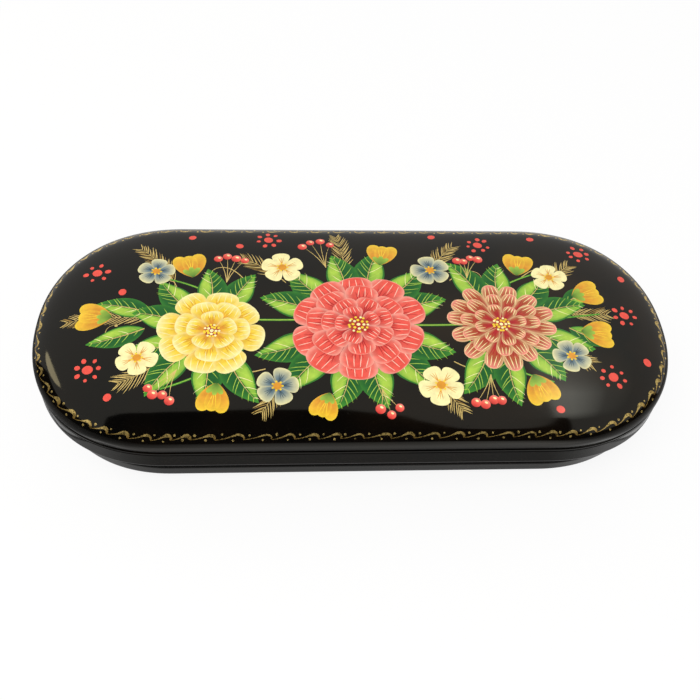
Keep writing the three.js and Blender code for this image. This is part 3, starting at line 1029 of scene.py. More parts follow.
def frond(brush, colours, root, degrees, length, bend, rng):
    """A gold fern: fine hairs on both sides of a curved stem."""
    tone = colours.gold_light
    hair(brush, root, degrees, length, 0.32, tone, bend, count=16, start=0.7)
    line = path(root, degrees, length, bend, count=FROND_STEPS)
    for number in range(int(length / FROND_PITCH)):
        u = (number + 0.5) * FROND_PITCH / length
        if u < 0.1:
            continue
        index = min(int(np.searchsorted(eased(FROND_STEPS), u)), FROND_STEPS - 2)
        turn = bearing(line[index + 1] - line[index])
        spread = 0.45 + 0.55 * math.sin(math.pi * min(1, u * 0.9 + 0.1))
        reach = FROND_HAIR * spread * rng.uniform(0.8, 1.1)
        for way in (-1, 1):
            shine = tone if rng.random() < 0.8 else colours.gold_dark
            hair(brush, line[index], turn + way * rng.uniform(28, 38), reach, 0.27, shine, -way * 16, count=6)


def tendril(brush, colours, root, degrees, length, bend, curl):
    """A gold tendril that winds up at its end, with a dot on it."""
    hair(brush, root, degrees, length, 0.34, colours.gold_light, bend, curl, 40, 0.75)
    dab(brush, path(root, degrees, length, bend, curl, 40)[-1], 0.42, colours.gold_light, rings=7, across=3)


def ringed_bloom(brush, centre, radius, rings, tones, turn, rng):
    """A full flower of overlapping rings of petals, with dark and pale streaks on each petal."""
    deep, body, light, rim = tones
    dab(brush, centre, 0.72 * radius, deep, rings=24, across=17)
    for count, inner, outer, width in rings:
        turn += 180 / count
        for number in range(count):
            degrees = turn + 360 * number / count + rng.uniform(-4, 4)
            reach = radius * outer * rng.uniform(0.94, 1.05)
            root = away(centre, degrees, radius * inner)
            length = reach - radius * inner
            shade = graded([(0, deep), (0.3, deep), (0.62, body), (0.9, light), (1, rim)], rim, 0.5)
            petal(brush, root, degrees, length, radius * width, shade, rng.uniform(-16, 16))
            for way in (-1, -0.4, 0.4, 1):
                base = away(root, degrees, 0.1 * length)
                size = length * rng.uniform(0.55, 0.74)
                hair(brush, base, degrees + way * 15, size, 0.3, deep, way * 10, count=7)
            for way in (-1.5, -0.5, 0.5, 1.5):
                tip = away(away(centre, degrees, reach * 0.95), degrees + 90, way * radius * width * 0.17)
                size = length * rng.uniform(0.28, 0.42)
                hair(brush, tip, degrees + 180 - way * 7, size, 0.24, rim, count=6)


def heart(brush, colours, centre, radius, rng):
    """The heart of a flower: a dark boss under rings of stamen dots."""
    boss = graded([(0, colours.terracotta), (0.5, colours.crimson), (1, colours.terracotta)])
    dab(brush, centre, radius, boss, across=7, rings=12)
    for share, count, size in ((0.95, 14, 0.34), (0.55, 8, 0.4), (0.0, 1, 0.5)):
        for number in range(count):
            degrees = 360 * number / count + rng.uniform(-8, 8)
            tone = colours.yellow if number % 3 else colours.cream
            dab(brush, away(centre, degrees, radius * share), size, tone, rings=7, across=3)


def blossom(brush, colours, centre, radius, tones, turn, rng):
    """A simple flower of five round petals."""
    deep, body, rim = tones
    for number in range(5):
        degrees = turn + 72 * number + rng.uniform(-5, 5)
        shade = graded([(0, deep), (0.4, body), (1, rim)], rim, 0.5)
        root = away(centre, degrees, radius * 0.12)
        petal(brush, root, degrees, radius * 0.88, radius * 0.86, shade, tip=4, waist=0.6, across=7, count=14)
        for way in (-1, 0, 1):
            base = away(root, degrees, radius * 0.1)
            hair(brush, base, degrees + way * 15, radius * 0.5, 0.2, deep, count=6)
    dab(brush, centre, radius * 0.2, colours.ochre)
    for number in range(7):
        dab(brush, away(centre, 360 * number / 7, radius * 0.24), 0.28, colours.yellow, rings=6, across=3)


def bud(brush, colours, root, degrees, size, tones):
    """A closed bud of three petals in its green cup."""
    deep, body, rim = tones
    for way in (-1, 1, 0):
        shade = graded([(0, deep), (0.5, body), (1, rim)], rim, 0.4)
        petal(
            brush, root, degrees + way * 17, size * (1.0 if way else 0.92), size * 0.46, shade,
            -way * 26, tip=2.2, waist=0.8, across=7,
        )
    for way in (-1, 0, 1):
        hair(brush, away(root, degrees, size * 0.2), degrees + way * 12, size * 0.6, 0.24, rim, count=7)
    for way in (-1, 1, 0):
        cup = graded([(0, colours.forest), (1, colours.lime)])
        petal(
            brush, root, degrees + way * 34, size * 0.42, size * 0.17, cup,
            way * 20, tip=1.6, across=5, count=10,
        )


def berry(brush, colours, centre, radius):
    """A red berry with a pale glint."""
    shade = graded([(0, colours.crimson), (0.45, colours.coral), (1, colours.salmon)])
    dab(brush, centre, radius, shade, 60, rings=11, across=7)
    dab(brush, away(centre, 60, radius * 0.4), radius * 0.24, colours.cream, 150, 1.5, rings=7, across=3)


def berry_spray(brush, colours, root, degrees, length, count, rng):
    """Berries on fine gold stalks."""
    for number in range(count):
        spread = (number / (count - 1) - 0.5) * 74
        reach = length * rng.uniform(0.8, 1.08)
        bend = spread * 0.6
        hair(brush, root, degrees + bend, reach, 0.24, colours.gold_light, bend, count=10, start=0.7)
        tip = path(root, degrees + bend, reach, bend, count=10)[-1]
        berry(brush, colours, tip, rng.uniform(1.1, 1.4))


def smooth_through(places, values, wanted):
    """Values between knots on a smooth curve through them."""
    slopes = np.gradient(values, places)
    index = np.clip(np.searchsorted(places, wanted) - 1, 0, len(places) - 2)
    span = places[index + 1] - places[index]
    t = (wanted - places[index]) / span
    rise = values[index + 1] - values[index]
    first = slopes[index] * span
    second = slopes[index + 1] * span
    cubic = first + second - 2 * rise
    square = 3 * rise - 2 * first - second
    return values[index] + first * t + square * t ** 2 + cubic * t ** 3


# Layout of the painting: places in millimetres on the flattened lid, directions in degrees

CENTRE_BLOOM = ((0, -4), 18)
LEFT_BLOOM = ((-38, -6), 14)
RIGHT_BLOOM = ((38, -4), 14.5)
BROAD_RINGS = ((8, 0.3, 1.0, 0.62), (7, 0.15, 0.72, 0.52), (5, 0.05, 0.46, 0.42))
SLIM_RINGS = ((14, 0.3, 1.0, 0.34), (11, 0.2, 0.76, 0.3), (8, 0.1, 0.5, 0.26))
FULL_RINGS = ((10, 0.35, 1.0, 0.56), (8, 0.22, 0.76, 0.5), (7, 0.12, 0.54, 0.4), (5, 0.04, 0.34, 0.3))
BLOOMS = (
    ("side_blooms", ((LEFT_BLOOM, BROAD_RINGS, "pale", 10, 2.0), (RIGHT_BLOOM, SLIM_RINGS, "warm", 5, 2.2))),
    ("great_bloom", ((CENTRE_BLOOM, FULL_RINGS, "rose", 0, 2.6),)),
)
STEMS = (
    ((-8, -2), 176, 60, -14), ((8, -4), 4, 58, 12), ((-30, -2), 146, 26, 40), ((30, 0), 34, 28, -36),
    ((-28, -10), -148, 26, -30), ((28, -8), -34, 26, 40),
)
LEAVES = (
    (CENTRE_BLOOM[0], 11, (20, 48, 76, 104, 132, 160, 200, 228, 256, 284, 312, 340), 16.5, 9),
    (LEFT_BLOOM[0], 8, (62, 96, 130, 164, 198, 232, 266, 300), 15.5, 8),
    (RIGHT_BLOOM[0], 8.5, (-120, -86, -52, -18, 16, 50, 84, 118), 16, 8.4),
)
END_LEAVES = (
    ((-54, 0), 166, 15, 6.4, 16), ((-55, -5), 198, 15, 6.2, -16), ((56, 3), 30, 12, 5.6, -16),
    ((56, -5), -26, 12, 5.6, 16),
)
FRONDS = (
    ((-52, -2), 180, 24, 16), ((-48, 9), 126, 19, 24), ((-50, -15), 212, 12, -28), ((-19, 11), 142, 16, 24),
    ((-19, -18), 244, 14, -22), ((52, 7), 52, 14, -26), ((52, -9), -42, 11, 28), ((19, 11), 58, 18, -24),
    ((19, -18), -64, 14, 22), ((-3, 13), 96, 18, 18), ((56, 0), 0, 12, 10),
)
TENDRILS = (
    ((-30, 12), 106, 15, -50, 250), ((-24, -18), 214, 15, 40, -240), ((24, -16), -50, 15, -40, 250),
    ((26, 12), 66, 14, 50, -250), ((-58, -9), 196, 12, 30, -230), ((46, 13), 60, 14, 40, -240),
)
SMALL_BLOSSOMS = (
    ((-20, 17), 5.8, "cream", 20), ((20, -23), 5.8, "cream", 50), ((-21, -23), 5.4, "slate", 5),
    ((21, 16), 5.6, "slate", 33), ((-54, 15), 5, "slate", 14), ((55, -14), 5, "slate", 40),
    ((54, 13), 5, "cream", 8), ((-56, -14), 5.2, "cream", 61),
)
BUDS = (
    ((-44, 13), 104, 9.5), ((-64, -1), 176, 9.5), ((44, -20), -72, 9), ((59, 6), 16, 9), ((59, -6), -8, 9),
    ((7, 18), 80, 9), ((-8, -25), 250, 7.5), ((-36, -22), 262, 8.5), ((45, 14), 76, 9),
)
BERRY_SPRAYS = (
    ((-35, 11), 84, 10, 4), ((-46, -18), 240, 9, 4), ((31, 13), 84, 8, 4), ((33, -20), -98, 9, 4),
    ((5, -24), -74, 7, 3), ((-8, 17), 104, 11, 4),
)
ROSETTES = (
    (36, 27, 7), (64.5, 23, 7), (72.8, 0, 7), (64.5, -20, 7), (-69.5, 15, 6), (-24, 29, 7), (-67.5, -17, 7),
)
WAVE_STEPS = 27
WAVE_KNOTS = (
    (0.00, -0.46, 0.0), (0.20, -0.34, 0.0), (0.42, -0.08, 0.1), (0.60, 0.22, 0.45), (0.75, 0.45, 0.95),
    (0.87, 0.46, 1.0), (0.96, 0.26, 0.95), (1.00, -0.06, 0.8), (0.99, -0.40, 0.4),
)
WAVE_DOTS = ((0.2, 0.5), (0.66, -0.58))
BORDER_SEED = 11
GREENERY_SEED = 23
FLOWER_SEED = 37
DOT_SEED = 5
SINGLE_DOTS = (
    (-45.5, 30), (23, 31), (52, 30), (75, 14), (75, -15), (49.5, -30), (-62, -25), (-62, 7.5), (-32, 26),
)


def tones(colours, kind):
    """The shade, body and lights of a named kind of flower."""
    return {
        "cream": (colours.ochre, colours.cream, colours.cream),
        "slate": (tuple(0.4 * c for c in colours.slate), colours.slate, colours.cream),
        "bud": (colours.terracotta, colours.ochre, colours.yellow),
        "pale": (colours.ochre, colours.yellow, colours.cream, colours.cream),
        "rose": (colours.crimson, colours.coral, colours.coral, colours.blush),
        "warm": (colours.crimson, colours.terracotta, colours.salmon, colours.cream),
    }[kind]


def paint_parts(context):
    """The colours, the finish and the lid surface that every painted piece shares."""
    scene = context.scene
    surface = LidSurface(scene.case_sizes, scene.case_border)
    return scene.case_colours, scene.case_finish, surface


PAINT_STACK = PaintStack()


class GLASSESCASE_OT_lid_shell(bpy.types.Operator):
    """Build the pillow-shaped lid shell with its hinge recesses"""

    bl_idname = "glasses_case.lid_shell"
    bl_label = "Lid Shell"

    def execute(self, context):
        """Lofts the shell and cuts the hinge room and back bevel."""
        sizes = context.scene.case_sizes
        edge = quarter_round(
            sizes.lid_edge_round, sizes.lid_floor + sizes.lid_edge_round, sizes.lid_edge_round, 0, -90
        )
        top = sizes.lid_floor + socket_depth(sizes)
        section = lid_curve(sizes, sizes.lid_edge_round, 0, 0, LID_STEPS)[::-1]
        section += edge[1:]
        section += [(sizes.lid_wall, sizes.lid_floor), (sizes.lid_wall, top)]
        section += lid_curve(sizes, socket_depth(sizes), sizes.lid_wall, sizes.lid_crown_wall, LINING_STEPS)
        shell = loft("lacquered_lid", sizes, section)
        lean = lid_lean(sizes)
        tilt = (sizes.brad_drop + sizes.brad_head) * math.sin(lean)
        head_out = (inner_reach(sizes) - tilt) / math.cos(lean)
        turn = Matrix.Rotation(math.pi + lean, 4, "X")
        cut(shell, [back_bevel(sizes, 1), *hinge_cutters(sizes, turn, head_out)])
        shade_smooth(shell)
        scene = context.scene
        material = lacquer_material("black_lacquer_ground", scene.case_colours, scene.case_finish, True)
        dress(shell, material, "lid", ("lid_shell",))
        return {"FINISHED"}


class GLASSESCASE_OT_base_shells(bpy.types.Operator):
    """Build the rim band, the bowl and the locating collar"""

    bl_idname = "glasses_case.base_shells"
    bl_label = "Base Shells"

    def execute(self, context):
        """Lofts the three black shells of the base."""
        scene = context.scene
        sizes = scene.case_sizes
        material = lacquer_material("black_lacquer_plain", scene.case_colours, scene.case_finish)
        outer, inner = collar_insets(sizes)
        for piece, node, sharp in (
            (self.rim(sizes), "base_rim", RIM_SHARP),
            (self.bowl(sizes, inner), "base_bowl", SHELL_SHARP),
            (self.collar(sizes, outer, inner), "locating_collar", SHELL_SHARP),
        ):
            shade_smooth(piece, sharp)
            dress(piece, material, "base", (node,))
        return {"FINISHED"}

    def rim(self, sizes):
        """The upright band that carries the hinges."""
        face = sizes.rim_inset
        lip = quarter_round(face + sizes.lip_round, sizes.rim_top - sizes.lip_round, sizes.lip_round, 90, 0)
        groove_top = sizes.rim_top - sizes.lip_height
        groove_foot = groove_top - sizes.lip_groove
        bottom = face + sizes.lip_groove_depth
        groove = [
            (face, groove_top), (bottom, groove_top - sizes.lip_groove / 4),
            (bottom, groove_foot + sizes.lip_groove / 4), (face, groove_foot),
        ]
        bevel_foot = sizes.rim_floor + sizes.rim_bevel_foot
        bevel = [(face, bevel_foot + sizes.rim_bevel), (face + sizes.rim_bevel_inset, bevel_foot)]
        cove_reach = sizes.bowl_step - sizes.seat_gap - sizes.rim_bevel_inset
        cove = []
        for angle in np.linspace(0, math.pi / 2, ROUND_STEPS)[1:]:
            inset = bevel[-1][0] + cove_reach * math.sin(angle)
            cove.append((inset, sizes.rim_floor + sizes.rim_bevel_foot * math.cos(angle)))
        inside = [(sizes.lid_wall, sizes.rim_floor), (sizes.lid_wall, sizes.rim_top)]
        rim = loft("lacquered_rim", sizes, lip + groove + bevel + cove + inside, is_ring=True)
        turn = Matrix.Rotation(math.pi, 4, "Z")
        cut(rim, [back_bevel(sizes, -1), *hinge_cutters(sizes, turn, inner_reach(sizes))])
        return rim

    def bowl(self, sizes, inner):
        """The stepped-in lower body with its rounded foot."""
        outer = sizes.rim_inset + sizes.bowl_step
        inside = bowl_curve(sizes, inner - outer, sizes.bowl_floor)[::-1]
        mouth = [(inner, sizes.bowl_top), (outer, sizes.bowl_top)]
        return loft("lacquered_bowl", sizes, inside + mouth + bowl_curve(sizes, 0, 0))

    def collar(self, sizes, outer, inner):
        """The thin ring that enters the lid."""
        foot = sizes.bowl_top + sizes.seat_gap
        lead = sizes.collar_lead
        section = quarter_round(outer + lead, sizes.collar_top - lead, lead, 90, 0)
        section += [(outer, foot), (inner, foot)]
        section += quarter_round(inner - lead / 2, sizes.collar_top - lead / 2, lead / 2, 180, 90)
        return loft("lacquered_collar", sizes, section, is_ring=True)


class GLASSESCASE_OT_linings(bpy.types.Operator):
    """Build the velvet linings of lid, floor and wall"""

    bl_idname = "glasses_case.linings"
    bl_label = "Linings"

    def execute(self, context):
        """Lofts each lining, then gives the lid and floor linings their soft swell."""
        sizes = context.scene.case_sizes
        material = velvet_material("red_velvet_nap", context.scene.case_finish)
        lid = self.lid_lining(sizes)
        floor = self.floor_lining(sizes)
        wall, height = self.wall_lining(sizes)
        for piece, body, node in (
            (lid, "lid", "lid_lining"), (floor, "base", "floor_lining"), (wall, "base", "wall_lining")
        ):
            shade_smooth(piece, SOFT_SHARP)
            dress(piece, material, body, (node,))
        ring = outline(sizes, collar_insets(sizes)[1] + sizes.seat_gap)
        return {"FINISHED"}

    def swell(self, piece, amount, coarse):
        """Gives a lining's surface a soft unevenness."""
        mesh = piece.data
        normals = [vertex.normal.copy() for vertex in mesh.vertices]
        for vertex, normal in zip(mesh.vertices, normals):
            drift = noise.noise(vertex.co * coarse)
            vertex.co += normal * amount * drift
        mesh.update()

    def lid_lining(self, sizes):
        """Velvet pressed into the lid's hollow, with a rolled edge."""
        start = socket_depth(sizes)
        side = sizes.lid_wall + sizes.seat_gap
        crown = sizes.lid_crown_wall + sizes.seat_gap
        outside = lid_curve(sizes, start, side, crown, LINING_STEPS)[::-1]
        inside = lid_curve(sizes, start, side + sizes.lid_lining, crown + sizes.lid_lining, LINING_STEPS)
        roll = [((outside[-1][0] + inside[0][0]) / 2, sizes.lid_floor + start - LINING_ROLL)]
        piece = loft("velvet_lid_lining", sizes, outside + roll + inside)
        self.swell(piece, LID_SWELL, LID_SWELL_SCALE)
        return piece

    def floor_lining(self, sizes):
        """The pad in the bottom of the bowl, crowned towards its middle."""
        outer = sizes.rim_inset + sizes.bowl_step
        wall = collar_insets(sizes)[1] - outer + sizes.seat_gap
        floor = sizes.bowl_floor + sizes.seat_gap
        under = bowl_curve(sizes, wall, floor)
        above = bowl_curve(sizes, wall + sizes.floor_pad, floor + sizes.floor_pad)
        crown = []
        for step in range(1, PAD_STEPS + 1):
            inset = above[-1][0] + (sizes.width / 2 - above[-1][0] - CROWN_RADIUS) * step / PAD_STEPS
            crown.append((inset, above[-1][1] + PAD_CROWN * math.sin(math.pi / 2 * step / PAD_STEPS)))
        piece = loft("velvet_floor_pad", sizes, crown[::-1] + above[::-1] + under)
        self.swell(piece, PAD_SWELL, PAD_SWELL_SCALE)
        return piece

    def wall_lining(self, sizes):
        """The velvet strip round the inside wall, with soft edges."""
        outer = collar_insets(sizes)[1] + sizes.seat_gap
        foot = sizes.bowl_round_height + sizes.seat_gap
        top = sizes.collar_top - sizes.wall_lining_drop
        soft = sizes.wall_lining / 2
        middle = outer + soft
        section = quarter_round(middle, top - soft, soft, 180, 0)
        section += quarter_round(middle, foot + soft, soft, 0, -180)
        return loft("velvet_wall_strip", sizes, section, is_ring=True), top - foot


class GLASSESCASE_OT_hinges(bpy.types.Operator):
    """Finish the hinge leaves, brads and pins in brass and steel"""

    bl_idname = "glasses_case.hinges"
    bl_label = "Hinges"

    def execute(self, context):
        """Puts the metals on the hinge nodes."""
        settings = context.scene.case_finish
        brass = metal_material("worn_brass", settings.brass, BRASS_POLISH)
        steel = metal_material("plain_steel", settings.steel, STEEL_POLISH)
        for name, node in frame["nodes"].items():
            if name.endswith("pin"):
                node.material_slots[0].material = steel
            elif "leaf" in name or "brad" in name:
                node.material_slots[0].material = brass
        return {"FINISHED"}


class GLASSESCASE_OT_wave_border(bpy.types.Operator):
    """Paint the gold running wave and its dots on the lid's shoulder"""

    bl_idname = "glasses_case.wave_border"
    bl_label = "Wave Border"

    def execute(self, context):
        """Draws every wave with the small changes of a hand."""
        colours, settings, surface = paint_parts(context)
        sizes = context.scene.case_border
        rng = random.Random(BORDER_SEED)
        brush = Brush(surface.from_border)
        starts = [0.0]
        while starts[-1] < surface.along[-1]:
            share = sizes.end_pitch if surface.is_at_end(starts[-1]) else 1.0
            starts.append(starts[-1] + share * sizes.pitch / MM * rng.uniform(0.86, 1.14))
        scale = surface.along[-1] / starts[-1]
        for start, stop in zip(starts, starts[1:]):
            load = sizes.end_load if surface.is_at_end(start) else 1.0
            self.wave(brush, colours, sizes, start * scale, (stop - start) * scale, load, rng)
        border = brush.piece("gold_wave_border")
        dress(border, paint_material("gold_line_paint", settings, GOLD_METAL, True), "lid")
        return {"FINISHED"}

    def wave(self, brush, colours, sizes, start, pitch, load, rng):
        """One wave: a thin rise, a thick crest and a hook that falls ahead of it, with two dots."""
        height = sizes.height / MM * rng.uniform(0.78, 1.1)
        along, up, weight = np.array(WAVE_KNOTS).T
        fine = np.linspace(0, 1, WAVE_STEPS)
        places = np.linspace(0, 1, len(WAVE_KNOTS))
        line = np.stack([
            start + pitch * smooth_through(places, along, fine),
            height * smooth_through(places, up, fine),
        ], 1)
        thin = sizes.thin / MM
        thick = sizes.thick / MM
        load *= rng.uniform(0.5, 1.1)
        half = (thin + (thick - thin) * np.interp(fine, places, weight) * load) / 2
        shade = graded([(0, colours.gold_dark), (0.5, colours.gold_light), (1, colours.gold_dark)])
        brush.stroke(line, half, shade, 3)
        radius = sizes.dot / MM / 2
        for ahead, above in WAVE_DOTS:
            spot = start + pitch * (ahead + rng.uniform(-0.05, 0.05))
            centre = (spot, height * (above + rng.uniform(-0.1, 0.1)))
            dab(brush, centre, radius * rng.uniform(0.75, 1.15), colours.gold_light, rings=8, across=3)


class GLASSESCASE_OT_greenery(bpy.types.Operator):
    """Paint the gold ferns, stems, tendrils and leaves of the flower spray"""

    bl_idname = "glasses_case.greenery"
    bl_label = "Ferns and Leaves"

    def execute(self, context):
        """Lays the ferns first, then the stems and leaves over them."""
        colours, settings, surface = paint_parts(context)
        rng = random.Random(GREENERY_SEED)
        gold = Brush(surface.from_flat, PAINT_STACK)
        for root, degrees, length, bend in FRONDS:
            frond(gold, colours, root, degrees, length, bend, rng)
        for root, degrees, length, bend, curl in TENDRILS:
            tendril(gold, colours, root, degrees, length, bend, curl)
        dress(gold.piece("gold_ferns"), paint_material("fern_gold_paint", settings, FERN_METAL), "lid")
        green = Brush(surface.from_flat, PAINT_STACK)
        for root, degrees, length, bend in STEMS:
            stem(green, colours, root, degrees, length, bend)
        for root, degrees, length, width, bend in END_LEAVES:
            leaf(green, colours, root, degrees, length, width, bend, rng)
        for centre, inner, angles, length, width in LEAVES:
            for number, degrees in enumerate(angles):
                size = length * rng.uniform(0.9, 1.12)
                bend = (LEAF_BEND if number % 2 else -LEAF_BEND) * rng.uniform(0.7, 1.2)
                leaf(green, colours, away(centre, degrees, inner), degrees, size, width, bend, rng)
        dress(green.piece("leaf_sprays"), paint_material("brush_paint", settings), "lid")
        return {"FINISHED"}


class GLASSESCASE_OT_flowers(bpy.types.Operator):
    """Paint the blooms, small blossoms, buds and berries of the flower spray"""

    bl_idname = "glasses_case.flowers"
    bl_label = "Flowers"

    def execute(self, context):
        """Lays the small flowers first and the great bloom last."""
        colours, settings, surface = paint_parts(context)
        material = paint_material("brush_paint", settings)
        rng = random.Random(FLOWER_SEED)
        small = Brush(surface.from_flat, PAINT_STACK)
        for root, degrees, size in BUDS:
            bud(small, colours, root, degrees, size, tones(colours, "bud"))
        for root, degrees, length, count in BERRY_SPRAYS:
            berry_spray(small, colours, root, degrees, length, count, rng)
        for centre, radius, kind, turn in SMALL_BLOSSOMS:
            blossom(small, colours, centre, radius, tones(colours, kind), turn, rng)
        dress(small.piece("small_flowers"), material, "lid")
        for name, blooms in BLOOMS:
            brush = Brush(surface.from_flat, PAINT_STACK)
            for (centre, radius), rings, kind, turn, heart_radius in blooms:
                ringed_bloom(brush, centre, radius, rings, tones(colours, kind), turn, rng)
                heart(brush, colours, centre, heart_radius, rng)
            dress(brush.piece(name), material, "lid")
        return {"FINISHED"}


class GLASSESCASE_OT_dots(bpy.types.Operator):
    """Paint the red dot rosettes around the flower spray"""

    bl_idname = "glasses_case.dots"
    bl_label = "Dot Rosettes"

    def execute(self, context):
        """Places each rosette with uneven hand-set dots."""
        colours, settings, surface = paint_parts(context)
        rng = random.Random(DOT_SEED)
        brush = Brush(surface.from_flat, PAINT_STACK)
        for x, v, count in ROSETTES:
            turn = rng.uniform(0, 60)
            dab(brush, (x, v), ROSETTE_HEART, colours.coral, rng.uniform(0, 180), 1.1, rings=12, across=7)
            for number in range(count):
                degrees = turn + 360 * number / count + rng.uniform(-7, 7)
                centre = away((x, v), degrees, ROSETTE_RING * rng.uniform(0.93, 1.07))
                dab(brush, centre, rng.uniform(0.44, 0.7), colours.coral, degrees, rng.uniform(1, 1.25), 9, 5)
        for x, v in SINGLE_DOTS:
            size = rng.uniform(0.95, 1.15)
            dab(brush, (x, v), size, colours.coral, rng.uniform(0, 180), 1.1, rings=11, across=7)
        dress(brush.piece("dot_rosettes"), paint_material("brush_paint", settings), "lid")
        return {"FINISHED"}


# Stage. Places are in metres from the middle of the case's foot.

TABLE_SIDES = (-6, 6, -6, 6)
TABLE_TONES = (0.985, 1)
SENSOR_WIDTH = 36
CLIP_START = 0.01
WALL_TOP = 0.03
CEILING_EDGE = 0.16
LAMP_AIM = (-0.03, -0.01, 0.028)
KEY_PLACE = (-0.3, -0.45, 0.95)
KEY_SIZE = (0.8, 0.8)
KEY_COLOUR = (1, 0.98, 0.95)
KEY_LIE = (1, 0, 0)
STRIP_PLACE = (-0.49, 0.202, 0.405)
STRIP_SIZE = (0.185, 0.078)
STRIP_COLOUR = (1, 0.88, 0.56)
STRIP_LIE = (0.116, -0.784, 0.609)
FELT_TONES = ((0.004, 0.004, 0.004), (0.012, 0.012, 0.012))
CARD_ROOF = 0.429
CARD_EDGE = (
    (-0.48, -0.405), (-0.306, -0.149), (-0.239, -0.029), (-0.194, 0.015), (-0.168, 0.029), (-0.047, 0.052),
    (0.02, 0.046), (0.06, 0.0), (0.085, -0.1), (0.105, -0.18), (0.128, -0.205), (0.155, -0.2), (0.163, -0.15),
    (0.17, -0.028), (0.192, -0.034), (0.2145, -0.155), (0.238, -0.269), (0.324, -0.405),
)
CARD_WINGS = (
    (((-0.48, -0.405), (-0.48, 0.16)), 0.33),
    (((0.324, -0.405), (0.5, -0.25), (0.5, 0.0)), 0.2),
)
GLOW_ROOF = CARD_ROOF + MM
GLOW_SIDES = (0.168, 0.4, -0.06, 0.4)
GLOW_STRENGTH = 3.3
GLOW_COLOUR = (0.97, 1, 1)
GLOW_ACROSS = ((0, 1), (0.15, 1), (0.5, 0.13), (1, 0))
GLOW_BACKWARD = ((0, 0), (0.16, 0.85), (0.39, 1), (0.5, 0.5), (0.67, 0.25), (1, 0))
# Painted shade and light on the table, seen only in the case's reflections: reach out from the outline in mm,
# then the tone at the left, front and right.
SHADE_RINGS = (
    (-14, 0.1, 0.1, 0.1), (-5, 0.2, 0.16, 0.25), (-2.5, 0.35, 0.27, 0.45), (-1.3, 0.45, 0.36, 0.6),
    (0.1, 0.6, 0.52, 0.85), (1.2, 0.65, 0.58, 0.95), (2.0, 0.1, 0.09, 0.12), (3.1, 0.06, 0.06, 0.08),
    (6, 0.06, 0.06, 0.08), (8.5, 0.5, 0.25, 0.6), (12.8, 0.54, 0.27, 0.7), (13.2, 0.06, 0.28, 0.08),
    (14, 0.06, 0.385, 0.08), (14.6, 1.2, 0.45, 1.6), (15.8, 1.1, 0.56, 1.4), (18, 0.45, 0.75, 0.8),
    (26, 0.12, 0.85, 0.3),
)
SHADE_ACROSS = (-0.082, -0.07, -0.053, 0.052, 0.07, 0.082)
SHADE_DRAW = (0.42, 0.97, 1, 1, 0.9, 0.35)
SHADE_END = 0.55
SHADE_HEIGHT = 0.2 * MM
RAMP_HEIGHT = 0.1 * MM
# The ramp card's painted fall from light into the dark in front, seen only in reflections.
RAMP_SIDES = (-0.48, 0.5, -0.405, 0.1)
RAMP_NEAR = -0.0625
RAMP_FAR = -0.26
RAMP_TONES = (0.78, 0.08)
RAMP_TOP = 1.45
RAMP_ACROSS = (
    (-0.48, 0.1), (-0.13, 0.22), (-0.095, 0.2), (-0.07, 0.45), (-0.045, 0.8), (-0.02, 1), (0.02, 1),
    (0.05, RAMP_TOP), (0.07, 1.1), (0.09, 0.4), (0.13, 0.3), (0.28, 0.2), (0.5, 0.15),
)


